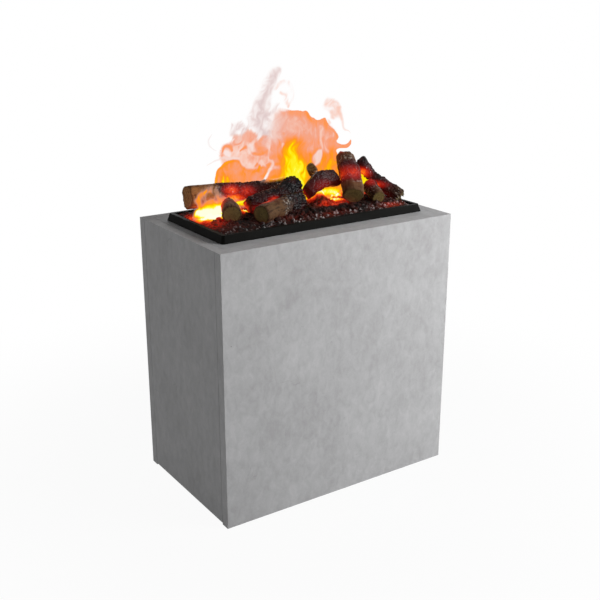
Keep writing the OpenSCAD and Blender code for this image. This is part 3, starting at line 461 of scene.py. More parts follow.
def circuit():
    f = Finish("circuit_lacquer", Roughness=0.3)
    tracks = f.add("TexVoronoi", {"feature": "DISTANCE_TO_EDGE", "distance": "CHEBYCHEV"},
                   {"Vector": f.place(), "Scale": 240})
    lines = f.ramp(tracks, 0.09, 0.04)
    f.set(Base_Color=f.blend(lines, (24, 92, 52), (72, 142, 84)))
    f.relief(lines, 0.00005, 0.5)
    return f.material


def lamp_lens():
    f = Finish("lamp_lens", Base_Color=(255, 214, 150), Roughness=0.2, Emission_Strength=1.0)
    middle = f.noise(0.002, 2)
    f.set(Emission_Color=f.blend(middle, (255, 146, 40), (255, 226, 150)))
    return f.material


def tray_paint():
    f = Finish("tray_paint", Specular_IOR_Level=0.03)
    skin = f.noise(0.002, 3, 0.6)
    smears = f.noise(0.035, 5, 0.65, (0.5, 1, 1), 0.8)
    ash = f.ramp(f.noise(0.004, 4, 0.75), 0.56, 0.72) * f.ramp(f.noise(0.05, 2), 0.4, 0.7)
    black = f.blend(smears, (3, 3, 2), (10, 10, 8))
    f.set(Base_Color=f.blend(ash * 0.12, black, (90, 86, 84)))
    f.set(Roughness=0.42 + 0.3 * smears)
    f.relief(0.5 * skin + 0.5 * smears, 0.0005, 0.5)
    return f.material


finishes |= {"filter_foam": foam(), "circuit_board": circuit(), "lamp_lens": lamp_lens(),
             "tray_paint": tray_paint()}
print("finishes so far", len(finishes))

# %% [markdown]
# Dress the solids
#
# The record says which slot each solid takes its finish from. Each could be named here, but one
# loop over the record dresses them all and misses none. Logs, embers and vapour are left out: they
# are replaced below.

# %% Give every solid its finish
slot_of = {row["node"]: row["material_slot"] for row in frame["record"]["subparts"]}
for node, solid in frame["nodes"].items():
    if slot_of[node] in finishes:
        solid.data.materials.clear()
        solid.data.materials.append(finishes[slot_of[node]])
print("dressed", sum(slot_of[node] in finishes for node in frame["nodes"]), "of", len(slot_of))

# %% [markdown]
# How the lamps' light glows in the resin
#
# The lamps shine up through the bed, and logs and embers are cast in tinted resin that lights up
# from dark red through orange and yellow to white. That light is painted onto logs and embers as
# emission. It could be painted on by hand, but one band of colours, read by one value of glow,
# serves logs and embers alike. The glow is worked out in space, as the reach of a few spots of
# painted glow, so it runs on from a log to the bed below it. The vapour has its own band.

# %% Painted glow and its colours
GLOW_BAND = [
    (0.0, (0, 0, 0)), (0.16, (58, 6, 6)), (0.34, (148, 20, 10)),
    (0.5, (226, 56, 20)), (0.64, (255, 118, 24)), (0.78, (255, 198, 20)),
    (0.9, (255, 246, 60)), (1.0, (255, 255, 232))]
# Spots of painted glow: place in mm with heights above the plinth, reach along x, y and z, and glow
GLOW_SPOTS = [
    ((-168, 16, 24), (38, 32, 26), 1.6), ((-132, 36, 26), (44, 18, 18), 1.3),
    ((-94, 34, 30), (34, 13, 12), 1.05), ((-107, 8, 26), (15, 15, 14), 0.95),
    ((-200, 26, 18), (18, 40, 12), 0.7), ((-190, -20, 16), (34, 44, 12), 0.42),
    ((62, 28, 26), (36, 24, 16), 1.35), ((106, 34, 26), (28, 24, 16), 1.25),
    ((66, -28, 22), (44, 17, 11), 0.56), ((56, 6, 38), (36, 17, 18), 1.3),
    ((90, 0, 22), (22, 22, 14), 0.95), ((158, 38, 30), (32, 34, 26), 1.2),
    ((178, -20, 24), (20, 26, 10), 0.45), ((165, -80, 16), (40, 16, 9), 0.34),
    ((-20, 32, 22), (70, 20, 14), 0.95), ((-60, -70, 16), (60, 16, 8), 0.18),
    ((30, -78, 16), (50, 12, 8), 0.2)]


def glow_at(p, spots=GLOW_SPOTS):
    """Painted glow: the greatest of all spots, glow times exp(-q^2), q the distance in reaches."""
    total = np.zeros(p.shape[:-1])
    for place, reach, glow in spots:
        away = ((p - np.array([0, 0, DECK]) - np.array(place)) / np.array(reach)) ** 2
        total = np.maximum(total, glow * np.exp(-away.sum(-1)))
    return total


print("hot spots", len(GLOW_SPOTS))

# %% [markdown]
# The bed of embers
#
# The bed is one moulded piece: a low mound inside the tray's rim, roughened all over like coarse
# cinders, with heaps where logs lie. A displaced plane would do, but here the height is a function:
# mound, heaps, coals the size of a walnut, then cinders of a few millimetres, each a rounded cell.
# The slot that lets the vapour through drops to the tray's floor.

# %% Height of the embers
bed_low, bed_high = (np.array(corner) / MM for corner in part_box("ember_bed"))
BED_W, BED_D = bed_high[:2]
SLOT_X, SLOT_Y, SLOT_HALF, SLOT_FLOOR = (-118, 98), 28.0, 9.0, 6.4
HEAPS = [(50, 1, 26, 43), (-52, 1, 24, 37)]
EDGE_HIGH, MIDDLE_HIGHER, SLOPE_X, SLOPE_Y, SETTLED = 10.0, 10, 40, 34, 2.6
COAL_SIZE, CINDER_SIZE, GRIT_SIZE = np.array([17, 15, 17]), np.array([5.0, 4.4, 4.4]), 2.2


def mound(x, y):
    """Height above the plinth without roughness: the edge's, more towards the middle, and heaps."""
    inner = np.clip((BED_W - abs(x)) / SLOPE_X, 0, 1) * np.clip((BED_D - abs(y)) / SLOPE_Y, 0, 1)
    h = EDGE_HIGH + MIDDLE_HIGHER * np.sqrt(inner)
    for cx, cy, spread, top in HEAPS:
        h = np.maximum(h, top * np.exp(-((x - cx) ** 2 + (y - cy) ** 2) / spread ** 2))
    return h, inner


def off_slot(x, y):
    """How far outside the vapour slot a place is, in mm."""
    return np.maximum.reduce([SLOT_X[0] - x, x - SLOT_X[1], abs(y - SLOT_Y) - SLOT_HALF])


def ember_height(x, y):
    """mound + walnut coals + cinders + grit, dropped to the tray's floor over the slot."""
    h, inner = mound(x, y)
    drift = [grain(xyz(x / 14, y / 14, level), seed) for level, seed in ((1.5, 3), (7.5, 4))]
    wander = xyz(x, y, 0 * x) + 5 * xyz(*drift, 0)
    near, second, value = cells(wander / COAL_SIZE + [0, 0, 0.4], 5)
    coal = rise(second - near, 0.02, 0.5) * (1.2 + 3.6 * value) * np.minimum(1, 0.35 + inner)
    near, second, shade = cells(wander / CINDER_SIZE, 6)
    cinder = rise(second - near, 0.0, 0.6) * (0.9 + 2.8 * shade)
    grit = 1.1 * layers(xyz(x / GRIT_SIZE, y / GRIT_SIZE, 2.5), 7, 2)
    open_share = 1 - rise(off_slot(x, y), -0.8, 1.6)
    top = h + coal + cinder + grit - SETTLED
    return top * (1 - open_share) + SLOT_FLOOR * open_share, rise(second - near, 0.0, 0.35), shade


print("bed of embers", round(2 * BED_W), "by", round(2 * BED_D), "mm")

# %% Embers' finish


def embers():
    f = Finish("cinders", Specular_IOR_Level=0.08, Emission_Strength=1.0)
    glow, crest, shade, ash = (f.mark(n) for n in ("warmth", "crest", "shade", "ash"))
    fine = f.noise(0.0012, 4, 0.75)
    coarse = f.noise(0.022, 4, 0.6, twist=0.6)
    warm = f.ramp(coarse, 0.4, 0.62)
    base = f.blend(f.ramp(shade + fine, 0.6, 1.3), (5, 4, 4), (24, 17, 15))
    base = f.blend(warm * (0.25 + 0.6 * shade), base, (66, 22, 12))
    # Painted light: the base colour turns orange-brown where the lamps' glow reaches.
    base = f.blend(f.ramp(glow, 0.05, 0.4) * f.ramp(fine, 0.4, 0.6), base, (104, 48, 20))
    # Pale flecks on the crests of cinders: partly ash, partly painted glints.
    dust_and_glints = f.ramp(fine + 0.5 * shade, 0.84, 0.98) * crest * ash
    base = f.blend(dust_and_glints, base, (170, 168, 168))
    # Emission is painted light, the lamps' glow through the resin, weaker in the gaps between
    # cinders.
    gaps = 0.2 * (1 - crest) * f.ramp(glow, 1.0, 0.3)
    cinder_glow = glow * (0.62 + 0.6 * fine + 0.25 * coarse) - gaps
    f.set(Base_Color=base, Emission_Color=f.band(cinder_glow, GLOW_BAND), Roughness=0.5 + 0.4 * fine)
    f.relief(fine, 0.0009)
    return f.material


finishes["ember_resin"] = embers()
print("finishes so far", len(finishes))

# %% Make the ember bed
COLUMNS, ROWS = 371, 167
xs = np.linspace(-BED_W, BED_W, COLUMNS)
X, Y = np.meshgrid(xs, np.linspace(BED_D, -BED_D, ROWS), indexing="ij")
height, crest, shade = ember_height(X, Y)
top = xyz(X, Y, DECK + height)
# The pale flecks, ash with painted glints, gather along the front and right rim of the bed.
rim = np.maximum(rise(-Y, 62, 84), rise(X, 165, 195) * 0.8)
ash = np.clip(0.06 + rim * (0.3 + layers(xyz(X / 30, Y / 14, 3.3), 9, 3)), 0, 1)
FX, FY = np.meshgrid(xs, np.linspace(-BED_D, BED_D, 5), indexing="ij")
under = xyz(FX, FY, np.full_like(FX, bed_low[2]))
bed_marks = {"warmth": glow_at(top), "crest": crest, "shade": shade, "ash": ash}
bed_marks = {mark: np.concatenate([values, 0 * FX], 1) for mark, values in bed_marks.items()}
crust = np.concatenate([top, under], 1)
bed = piece("ember_crust", crust, "fuel_bed", "ember_resin", marks=bed_marks)
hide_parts("ember_bed")

# %% [markdown]
# Logs
#
# The logs are resin casts of real wood: knobbly bark, split flats, sawn ends with rings, and ends
# burnt to a crackle of black squares. They could be sculpted one by one. Here each is a skin round
# a bowed line, so that one function gives nine different logs. The radius is a sum of slow lumps, a
# furrowed bark along the grain and, where the wood is charred, cracks between cells. The ends are
# rows that run in to the middle, so rings and saw marks are real steps.

# %% A log's skin
ROW, SLICE, CAP_ROWS, CAP_START = 1.15, 1.0, 12, 0.04
FURROWS, FINE_FURROWS, SQUARES = [4.2, 4.2, 26], [2.1, 2.1, 11], [7.5, 7.5, 8.5]
FURROW_DEEP, CRACK_DEEP, TEAR_REACH = 2.6, 1.8, 26


def log_skin(foot, head, radii, seed, char=(0, 0), flats=(), knots=(), bow=4.0, arch=0.0,
             torn=(0, 0), lump=0.16, worn=1.0):
    """Points and marks of a log from foot to head, in mm with heights above the plinth.
    radius = taper x (1 + lumps), cut by flats at (angle, share), raised by knots at (along, angle,
    size, height), less furrows where it has bark and cracks where it is charred: char runs evenly
    from the foot to the head. bow bends its middle sideways and arch bends it up, in mm, and worn
    is the share of its relief that is left. torn is how far each end is splintered, in mm."""
    foot, head = (np.array(end, float) + [0, 0, DECK] for end in (foot, head))
    length = np.linalg.norm(head - foot)
    ahead = (head - foot) / length
    side = np.cross([0, 0, 1], ahead)
    side /= np.linalg.norm(side)
    up = np.cross(ahead, side)
    count, around = int(length / ROW), int(2 * math.pi * max(radii) / SLICE)
    inward = np.linspace(CAP_START, 1, CAP_ROWS + 1)[:-1]
    along = np.concatenate([0 * inward, np.linspace(0, 1, count), 0 * inward + 1])[:, None]
    share = np.concatenate([inward, np.ones(count), inward[::-1]])[:, None]
    angle = np.linspace(0, 2 * math.pi, around, endpoint=False)[None, :]
    taper = radii[0] + (radii[1] - radii[0]) * along
    spot = xyz(taper * np.cos(angle), taper * np.sin(angle), along * length + 37.0 * seed)
    # The wood's outline: lumps, split flats and knots
    radius = taper * (1.05 + lump * (layers(spot / 30, seed, 3) - 0.5) * 2)
    for turn, depth in flats:
        lean = np.cos(angle - math.radians(turn) - 0.25 * np.sin(3 * along + seed))
        radius = np.minimum(radius, taper * depth / np.maximum(lean, 0.2))
    for at, turn, size, height in knots:
        off = np.angle(np.exp(1j * (angle - math.radians(turn)))) * taper
        radius = radius + height * np.exp(-((along - at) * length / size) ** 2 - (off / size) ** 2)

    # Bark's furrows, and where it is burnt the cracks between squares of char
    burnt = np.interp(along, np.linspace(0, 1, len(char)), char)
    burnt = rise(burnt + 0.5 * (layers(spot / 26, seed + 5, 3) - 0.5), 0.3, 0.62)
    twist = grain(spot / 30, seed + 8) * 3
    bend = 3.5 * xyz(grain(spot / 16, seed + 6), grain(spot / 16, seed + 7), twist)
    ridge, finer = (1 - abs(2 * grain((spot + bend) / apart, seed + k) - 1)
                    for k, apart in ((1, FURROWS), (2, FINE_FURROWS)))
    ridge = 0.65 * ridge + 0.35 * finer
    near, second, value = cells((spot + 0.6 * bend) / SQUARES, seed + 3)
    square = rise(second - near, 0.0, 0.22)
    clod = 3.2 * (2 * layers(spot / 12, seed + 11, 2) - 1)
    fine = layers(spot / [1.8, 1.8, 4], seed + 4, 2)
    bark = FURROW_DEEP * (1 - ridge) ** 1.4 + 0.5 * fine
    crackle = CRACK_DEEP * (1 - square) - 1.3 * value * square + 0.5 * fine - clod
    relief = worn * (bark * (1 - burnt) + crackle * burnt)
    lip = np.minimum(along, 1 - along) * length
    radius = (radius - relief - 1.6 * (1 - rise(lip, 0, 2.4))) * share

    # The ends: growth rings, checks that run out from the middle, and splinters
    cap, way = share < 1, np.where(along < 0.5, -1.0, 1.0)
    check = np.exp(-(np.sin(0.5 * angle * (3 + seed % 3) + seed) / 0.07) ** 2)
    check = check * rise(share, 0.15, 0.6)
    ripple = 0.5 * np.sin(share * max(radii) * 2.2 + 1.5 * grain(spot / 9, seed + 9)) - 1.8 * check
    across = xyz(share * np.cos(angle) * 4, share * np.sin(angle) * 4, 3.0 + 0 * share)
    tear = way * np.where(along < 0.5, *torn) * (layers(across, seed + 10, 3) - 0.35)
    out = tear * (1 - rise(np.where(cap, 0, lip), 0, TEAR_REACH))
    out = out + np.where(cap, way * ripple * (1 - share ** 6), 0)
    bowed = bow * np.sin(math.pi * along) * math.sin(2 * seed)
    points = foot + (head - foot) * along[..., None] + ahead * out[..., None]
    points = points + side * (bowed + radius * np.cos(angle))[..., None]
    points = points + up * (arch * np.sin(math.pi * along) + radius * np.sin(angle))[..., None]
    marks = {"burnt": burnt, "cut": 1.0 * cap + 0 * radius,
             "deep": np.where(cap, 0.5 - 0.5 * ripple, relief / FURROW_DEEP),
             "pale": np.where(cap, share, value * burnt + ridge * (1 - burnt))}
    return points, {mark: np.clip(values, 0, 1) for mark, values in marks.items()}


# %% [markdown]
# Bark, end grain and char in one finish
#
# On the cast, brown bark turns to black squares with grey edges without a join, under a lacquer
# that makes the char gleam a little; its pale flecks are partly ash and partly painted highlights.
# Separate materials would meet in a line. So a log carries marks from its shape, which say how
# burnt it is, how deep each furrow lies, whether it is a sawn end and how much of the lamps' glow
# it gets, and one finish reads them all. It paints shade into deep furrows and cracks, and the
# lamps' glow as emission.

# %% Logs' finish


def wood(name, bark_dark, bark_pale, end_dark, end_pale):
    f = Finish(name, Emission_Strength=1.0, Specular_IOR_Level=0.1)
    burnt, cut, deep, pale, glow = (f.mark(n) for n in ("burnt", "cut", "deep", "pale", "warmth"))
    fine = f.noise(0.0014, 4, 0.75)
    patch = f.noise(0.018, 4, 0.6, twist=0.8)
    flakes = f.noise(0.005, 3, 0.6, twist=0.5)
    # Bark is darker the deeper its furrow lies: painted shade in the furrows.
    bark = f.blend(f.ramp(deep + 0.35 * (fine - 0.5), 0.65, 0.15), bark_dark, bark_pale)
    bark = f.blend(0.6 * f.ramp(patch, 0.45, 0.65), bark, (52, 26, 16))
    rings = f.add("Math", {"operation": "SINE"}, {0: pale * 46 + 5 * patch})
    end = f.blend(0.5 + 0.4 * rings + 0.6 * (fine - 0.5), end_dark, end_pale)
    end = f.blend(f.ramp(pale, 0.86, 0.99) * 0.8, end, bark_dark)
    skin = f.blend(cut, bark, end)
    # Char is darker the deeper its crack lies: painted shade in the cracks.
    char = f.blend(f.ramp(deep, 0.1, 0.6), (15, 11, 12), (3, 2, 3))
    char = f.blend(0.7 * f.ramp(patch, 0.52, 0.42), char, (42, 8, 8))
    # Bluish-white flecks on the raised char: partly ash, partly painted highlights of the lacquer.
    ash = f.ramp(flakes + 0.3 * (fine - 0.5), 0.6, 0.72)
    ash = ash * f.ramp(patch, 0.48, 0.62) * f.ramp(deep, 0.5, 0.2)
    char = f.blend(ash * 0.75, char, (172, 176, 184))
    scorched = f.ramp(burnt, 0.02, 0.4) * f.ramp(burnt, 0.9, 0.4) * f.ramp(flakes, 0.52, 0.6)
    base = f.blend(burnt * (1 - 0.7 * cut), skin, char)
    base = f.blend(0.65 * scorched, base, (160, 150, 140))
    # Emission is painted light: the lamps' glow soaking through the resin, a little more in
    # furrows.
    ember = glow * (0.6 + 0.4 * patch + 0.4 * flakes) + glow * 0.16 * deep
    f.set(Base_Color=base, Emission_Color=f.band(ember, GLOW_BAND))
    f.set(Roughness=0.75 - 0.4 * burnt * (1 - cut) + 0.25 * (fine - 0.5))
    f.relief(0.6 * fine + 0.4 * patch, 0.0007)
    return f.material


finishes["bark"] = wood(
    "lacquered_bark", (24, 16, 11), (86, 62, 41), (70, 57, 30), (132, 112, 68))
finishes["charred_bark"] = wood(
    "lacquered_char", (22, 13, 10), (82, 60, 42), (46, 37, 24), (108, 94, 64))
LONG_BARK = wood("long_bark", (44, 24, 14), (140, 94, 54), (98, 62, 36), (188, 134, 82))
print("finishes so far", len(finishes))

# %% [markdown]
# Nine logs
#
# The long bark log lies at the back left with its sawn end to the left. A charred one crosses in
# front of it, two short ones show their ends at the front, a charred one arches at the centre with
# a stub behind it, one lit red in its middle leans at the right, a thin charred one falls away
# behind it, and a small one lies at their feet. Each is an entry of a table, and each has its own
# spots of painted glow, where light from below soaks through.

# %% Place the logs
LOGS = {
    "bark_log_back": dict(
        foot=(-193, 67, 46), head=(41, 54, 38), radii=(23, 17), seed=3, char=(0.08, 1.7), lump=0.1,
        flats=((75, 0.93), (150, 0.95), (-20, 0.95), (-110, 0.93)), bow=2.5, torn=(3, 8), worn=0.8,
        knots=((0.86, 80, 16, 5), (0.7, 120, 12, 4), (0.3, 60, 20, 2))),
    "char_log_cross": dict(
        foot=(-106, -5, 35), head=(4, 6, 53), radii=(14, 18), seed=8, char=(0.9, 1.0), worn=0.8,
        knots=((0.85, 90, 12, 5), (0.95, 140, 9, 3)), torn=(5, 5), lump=0.2, flats=((40, 0.85),)),
    "bark_log_left": dict(
        foot=(-161, -38, 31), head=(-140, 12, 36), radii=(17, 13), seed=5, char=(0.0, 0.5), bow=1),
    "bark_log_front": dict(
        foot=(-119, -68, 31), head=(-9, -25, 34), radii=(18, 16), seed=1, char=(-0.05, 0.9),
        flats=((70, 0.93),), knots=((0.75, 60, 14, 4), (0.45, 100, 12, 2)), torn=(0, 7)),
    "char_log_centre": dict(
        foot=(20, -5, 44), head=(92, 5, 60), radii=(14, 17), seed=6, char=(0.9, 1.0), worn=0.6,
        flats=((130, 0.8), (60, 0.82), (0, 0.85), (-60, 0.85)), torn=(6, 4), bow=0, arch=8.0,
        knots=((0.5, 96, 15, 7), (0.85, 70, 10, 3))),
    "char_stub": dict(
        foot=(67, 50, 79), head=(102, 77, 27), radii=(15, 12), seed=9, char=(0.4, 1.0),
        torn=(2, 2), bow=1),
    "bark_log_leaning": dict(
        foot=(97, -47, 35), head=(136, 34, 92), radii=(20, 17), seed=2, char=(-0.1, 1.05, 0.12),
        flats=((100, 0.92), (-60, 0.93)), knots=((0.9, 60, 12, 3), (0.6, 150, 12, 3)),
        torn=(0, 6), lump=0.2, worn=0.6),
    "char_log_right": dict(
        foot=(161, 24, 81), head=(205, -52, 23), radii=(9, 14), seed=7, char=(1.1, 0.3), arch=-5,
        knots=((0.03, 60, 9, 6), (0.12, 130, 9, 6), (0.2, 90, 8, 3)), torn=(5, 14), lump=0.22),
    "bark_log_small": dict(
        foot=(148, -60, 27), head=(163, -12, 42), radii=(14, 13), seed=4, char=(0.2, 0.9), bow=1),
}
LOG_GLOW = {
    "bark_log_back": [((-112, 44, 54), (22, 18, 13), 0.52), ((-84, 44, 48), (24, 18, 14), 0.42),
                      ((-116, 44, 38), (36, 22, 13), 0.66), ((-146, 44, 26), (42, 22, 15), 0.95),
                      ((-44, 42, 42), (26, 14, 14), 0.1)],
    "char_log_cross": [((-92, -22, 28), (34, 14, 12), 0.3), ((-100, 10, 32), (16, 14, 16), 0.55),
                       ((-60, -20, 41), (15, 12, 8), 0.5)],
    "bark_log_left": [((-154, 24, 42), (18, 20, 18), 0.9), ((-128, -8, 28), (10, 26, 14), 0.6)],
    "bark_log_front": [((-96, -42, 49), (22, 12, 8), 0.5), ((-118, -30, 30), (16, 16, 14), 0.5),
                       ((-60, -24, 26), (40, 14, 12), 0.36)],
    "char_log_centre": [((50, -18, 54), (40, 18, 20), 0.25), ((60, 6, 34), (44, 26, 10), 0.6)],
    "char_stub": [((78, 50, 36), (16, 20, 16), 0.6)],
    "bark_log_leaning": [((116, -14, 68), (28, 30, 19), 0.49), ((98, 4, 78), (8, 34, 26), 0.55),
                         ((148, 4, 54), (10, 40, 30), 0.5), ((118, 30, 110), (16, 18, 7), 0.6)],
    "char_log_right": [((160, 10, 62), (16, 26, 13), 0.6), ((180, -14, 42), (22, 26, 8), 0.5)],
    "bark_log_small": [((154, -26, 54), (22, 30, 11), 0.38)],
}
STANDS_FOR = {
    "bark_log_back": "log_back_left", "char_log_cross": "log_cross",
    "bark_log_left": "log_small_left", "bark_log_front": "log_front_centre",
    "char_log_centre": "logs_centre", "char_stub": "logs_centre",
    "bark_log_leaning": "logs_right", "char_log_right": "logs_right",
    "bark_log_small": "logs_right"}
SOAKED = 0.55  # of the bed's painted glow, in a log
for name, shape in LOGS.items():
    points, marks = log_skin(**shape)
    marks["warmth"] = np.maximum(glow_at(points, LOG_GLOW[name]), SOAKED * glow_at(points))
    slot = "bark" if name.startswith("bark") else "charred_bark"
    paint = LONG_BARK if name == "bark_log_back" else finishes[slot]
    made = piece(name, points, "fuel_bed", slot, marks=marks, finish=paint)
    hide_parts(STANDS_FOR[name])

# %% [markdown]
# Loose coals
#
# Between the logs lie lumps of cinder. A particle system could scatter them, but it would bury some
# in the logs. Here they are small balls of points pushed in and out by grain, thrown by a seeded
# draw and dropped onto the bed, without those that would land on a log or in the slot.

# %% Scatter coals
COALS, SEATED, SQUASHED = 90, 0.35, np.array([1.25, 1.0, 0.8])
draw = np.random.default_rng(5)
reaches = ((-BED_W + 14, BED_W - 14), (-BED_D + 12, BED_D - 12), (2.5, 5.5))
spot_x, spot_y, size = (draw.uniform(*reach, COALS) for reach in reaches)
clear = off_slot(spot_x, spot_y) > size
for shape in LOGS.values():
    a, b = (np.array(shape[end][:2], float) for end in ("foot", "head"))
    run = b - a
    t = np.clip(((spot_x - a[0]) * run[0] + (spot_y - a[1]) * run[1]) / (run @ run), 0, 1)
    off = np.hypot(spot_x - a[0] - t * run[0], spot_y - a[1] - t * run[1])
    clear &= off > max(shape["radii"]) * 0.8
spot_x, spot_y, size = spot_x[clear], spot_y[clear], size[clear]
seat = mound(spot_x, spot_y)[0] + SEATED * size
turn, tilt = np.linspace(0, 2 * math.pi, 14, endpoint=False), np.linspace(-1.35, 1.35, 9)[:, None]
ball = xyz(np.cos(tilt) * np.cos(turn), np.cos(tilt) * np.sin(turn), np.sin(tilt) + 0 * turn)
spots = xyz(spot_x, spot_y, seat + DECK)[:, None, None, :]
swell = 0.7 + 0.6 * layers(ball * 1.3 + spots / 9, 21, 3)
near, second, _ = cells(ball * 1.1 + spots / 7, 22)
swell *= 1 - 0.25 * (1 - rise(second - near, 0, 0.3))
coals = spots + ball * (size[:, None, None] * swell)[..., None] * SQUASHED
# The front coals get the same pale flecks, ash with painted glints.
coal_marks = {"warmth": glow_at(coals) * 0.8, "crest": np.clip(swell - 0.3, 0, 1),
              "shade": np.clip(swell - 0.4, 0, 1), "ash": 0.3 * rise(-coals[..., 1], 40, 80)}
piece("loose_coals", coals, "fuel_bed", "ember_resin", marks=coal_marks)
print("coals", len(coals))

# %% [markdown]
# Lit vapour
#
# The flames are mist: a broad orange billow with a yellow heart over the slot, a lower lobe behind
# the long log, peach swirls and grey smoke that lean forward into a ribbon, a loose puff and a curl
# at the right. A volume would render slowly and can't be exported, so the vapour is three folded
# curtains. Each knows, at every point, how dense it is and what painted glow it has. Those fields
# are outlines and brush strokes laid over each other like washes of paint, after the points were
# carried along eddies, which draws the edges out into wisps. Where a curtain is clear it has no
# surface at all.

# %% Outlines, strokes and eddies


def smooth(knots, closed, per=8):
    """Points on a curve through the knots: between two, the cubic that their neighbours' slopes
    give."""
    k = np.array(knots, float)
    n = len(k)
    t = np.linspace(0, n if closed else n - 1, per * n, endpoint=not closed)
    i = np.minimum(t.astype(int), n - 1 if closed else n - 2)
    pick = [(i + s) % n if closed else np.clip(i + s, 0, n - 1) for s in (-1, 0, 1, 2)]
    a, b, c, d = (k[p] for p in pick)
    f = (t - i)[:, None]
    slope, square, cube = c - a, 2 * a - 5 * b + 4 * c - d, 3 * b - a - 3 * c + d
    return 0.5 * (2 * b + slope * f + square * f ** 2 + cube * f ** 3)


def inside(x, z, knots):
    """Depth in mm within a smooth closed outline, negative outside: the distance to the nearest
    point of the outline, with its sign from how often a line to the left crosses it."""
    edge = smooth(knots, True)
    best, crossed = np.full(x.shape, 1e9), np.zeros(x.shape, bool)
    for (ax, az), (bx, bz) in zip(edge, np.roll(edge, -1, axis=0)):
        best = np.minimum(best, (x - ax) ** 2 + (z - az) ** 2)
        if az != bz:
            crossed ^= ((az > z) != (bz > z)) & (x < (bx - ax) * (z - az) / (bz - az) + ax)
    return np.sqrt(best) * np.where(crossed, 1, -1)


def stroke(x, z, knots):
    """1 on the line of a brush stroke through (x, z, half width) knots, 0 on its edge and negative
    outside."""
    best = np.full(x.shape, -9.0)
    for px, pz, half in smooth(knots, False, 14):
        best = np.maximum(best, 1 - np.hypot(x - px, z - pz) / max(half, 0.5))
    return best


def eddies(x, z, seed):
    """The slopes of these hills are what carries the vapour: a coarse grain and a finer one."""
    fine = grain(xyz(x / 14, z / 16, seed + 0.5), seed + 1)
    return grain(xyz(x / 38, z / 44, seed), seed) + 0.4 * fine


def carried(x, z, seed, reach):
    """Each point carried back along eddies, by steps at right angles to the slope of the hills."""
    for _ in range(MOVES):
        dx = eddies(x, z + 1, seed) - eddies(x, z - 1, seed)
        dz = eddies(x + 1, z, seed) - eddies(x - 1, z, seed)
        x, z = x + dx * reach, z - dz * reach
    return x, z


ring = smooth([(0, 0), (1, 0), (1, 1), (0, 1)], True)
print("a ring through four knots has", len(ring), "points")

# %% [markdown]
# The vapour's finish
#
# The light that the vapour catches is painted on as emission, so all its colours glow. It lets
# light through and has no gloss. Its glow picks its colour, from pale peach through coral and
# orange to yellow, soot turns it to grey smoke, and its density is its alpha, worn thin by fine
# streaks. It casts no shadow, as lit mist hardly does.

# %% Vapour's finish
MIST = [
    (0.0, (250, 232, 228)), (0.18, (250, 202, 184)), (0.34, (248, 164, 132)),
    (0.5, (255, 152, 84)), (0.62, (255, 146, 38)), (0.74, (255, 176, 8)),
    (0.85, (255, 226, 0)), (0.93, (255, 248, 50)), (1.0, (255, 255, 224))]


def vapour():
    f = Finish("lit_mist", Base_Color=(0, 0, 0), Roughness=1.0, Specular_IOR_Level=0.0,
               Emission_Strength=1.0)
    warmth, veil, soot = f.mark("warmth"), f.mark("veil"), f.mark("soot")
    streaks = f.noise(0.006, 5, 0.65, (1, 1, 0.35), 1.2)
    # Emission is painted light: the light that the mist catches.
    lit = f.blend(soot, f.band(warmth + 0.14 * (streaks - 0.5), MIST), (214, 197, 199))
    f.set(Emission_Color=lit, Alpha=f.ramp(veil + 0.3 * (streaks - 0.5) * (1 - veil), 0.02, 1.0))
    return f.material


finishes["lit_vapour"] = vapour()
print("finishes", len(finishes))

# %% A wash of vapour
GENTLE, STRONG, MOVES = 7, 21, 8


class Wash:
    """Density, painted glow and soot of a curtain, laid in layers: each covers what is below it by
    its amount. An edge follows gentle eddies, and fibres, curls, threads and hairs stronger ones."""

    def __init__(self, x, z, seed):
        self.sx, self.sz = carried(x, z, seed, GENTLE)
        self.wx, self.wz = carried(x, z, seed + 5, STRONG)
        self.fibre = self.drawn(7, 26, seed + 0.3, seed + 2)
        self.curl = self.drawn(15, 17, seed + 4.3, seed + 3)
        self.thread = (1 - abs(2 * self.drawn(12, 24, seed + 7.7, seed + 4, 3) - 1)) ** 3
        self.hair = self.drawn(3.6, 26, seed + 2.2, seed + 6, 2)
        self.veil, self.warmth, self.soot = (np.zeros(x.shape) for _ in range(3))

    def drawn(self, wide, high, level, seed, count=4):
        """Layered grain whose features are so many mm wide and high before eddies draw them out."""
        return layers(xyz(self.wx / wide, self.wz / high, level), seed, count)

    def lay(self, amount, warmth, soot=0.0):
        a = np.clip(amount, 0, 1)
        self.warmth = self.warmth * (1 - a) + warmth * a
        self.soot = self.soot * (1 - a) + soot * a
        self.veil = self.veil * (1 - a) + a

    def fill(self, knots, soft, amount, warmth, soot=0.0, ragged=0.0):
        """Fills an outline, its edge soft over so many mm and made ragged by fibres."""
        depth = inside(self.sx, self.sz, knots) + ragged * (self.fibre - 0.5)
        self.lay(rise(depth, -0.3 * soft, 0.7 * soft) * amount, warmth, soot)

    def brush(self, knots, amount, warmth, soot=0.0, wild=False):
        """A brush stroke, faint at its edge. A wild one follows the stronger eddies."""
        a, b = (self.wx, self.wz) if wild else (self.sx, self.sz)
        self.lay(rise(stroke(a, b, knots), 0, 0.9) * amount, warmth, soot)


# %% [markdown]
# The billow over the slot
#
# The front curtain stands in the slot. Its outline is crisp where the billow rolls against the air,
# at the top and right, and ragged at the left. Colour falls from coral at the crown through a pale
# streaked band to orange, with the yellow heart at its foot, and a curl runs out to the right over
# the leaning log.

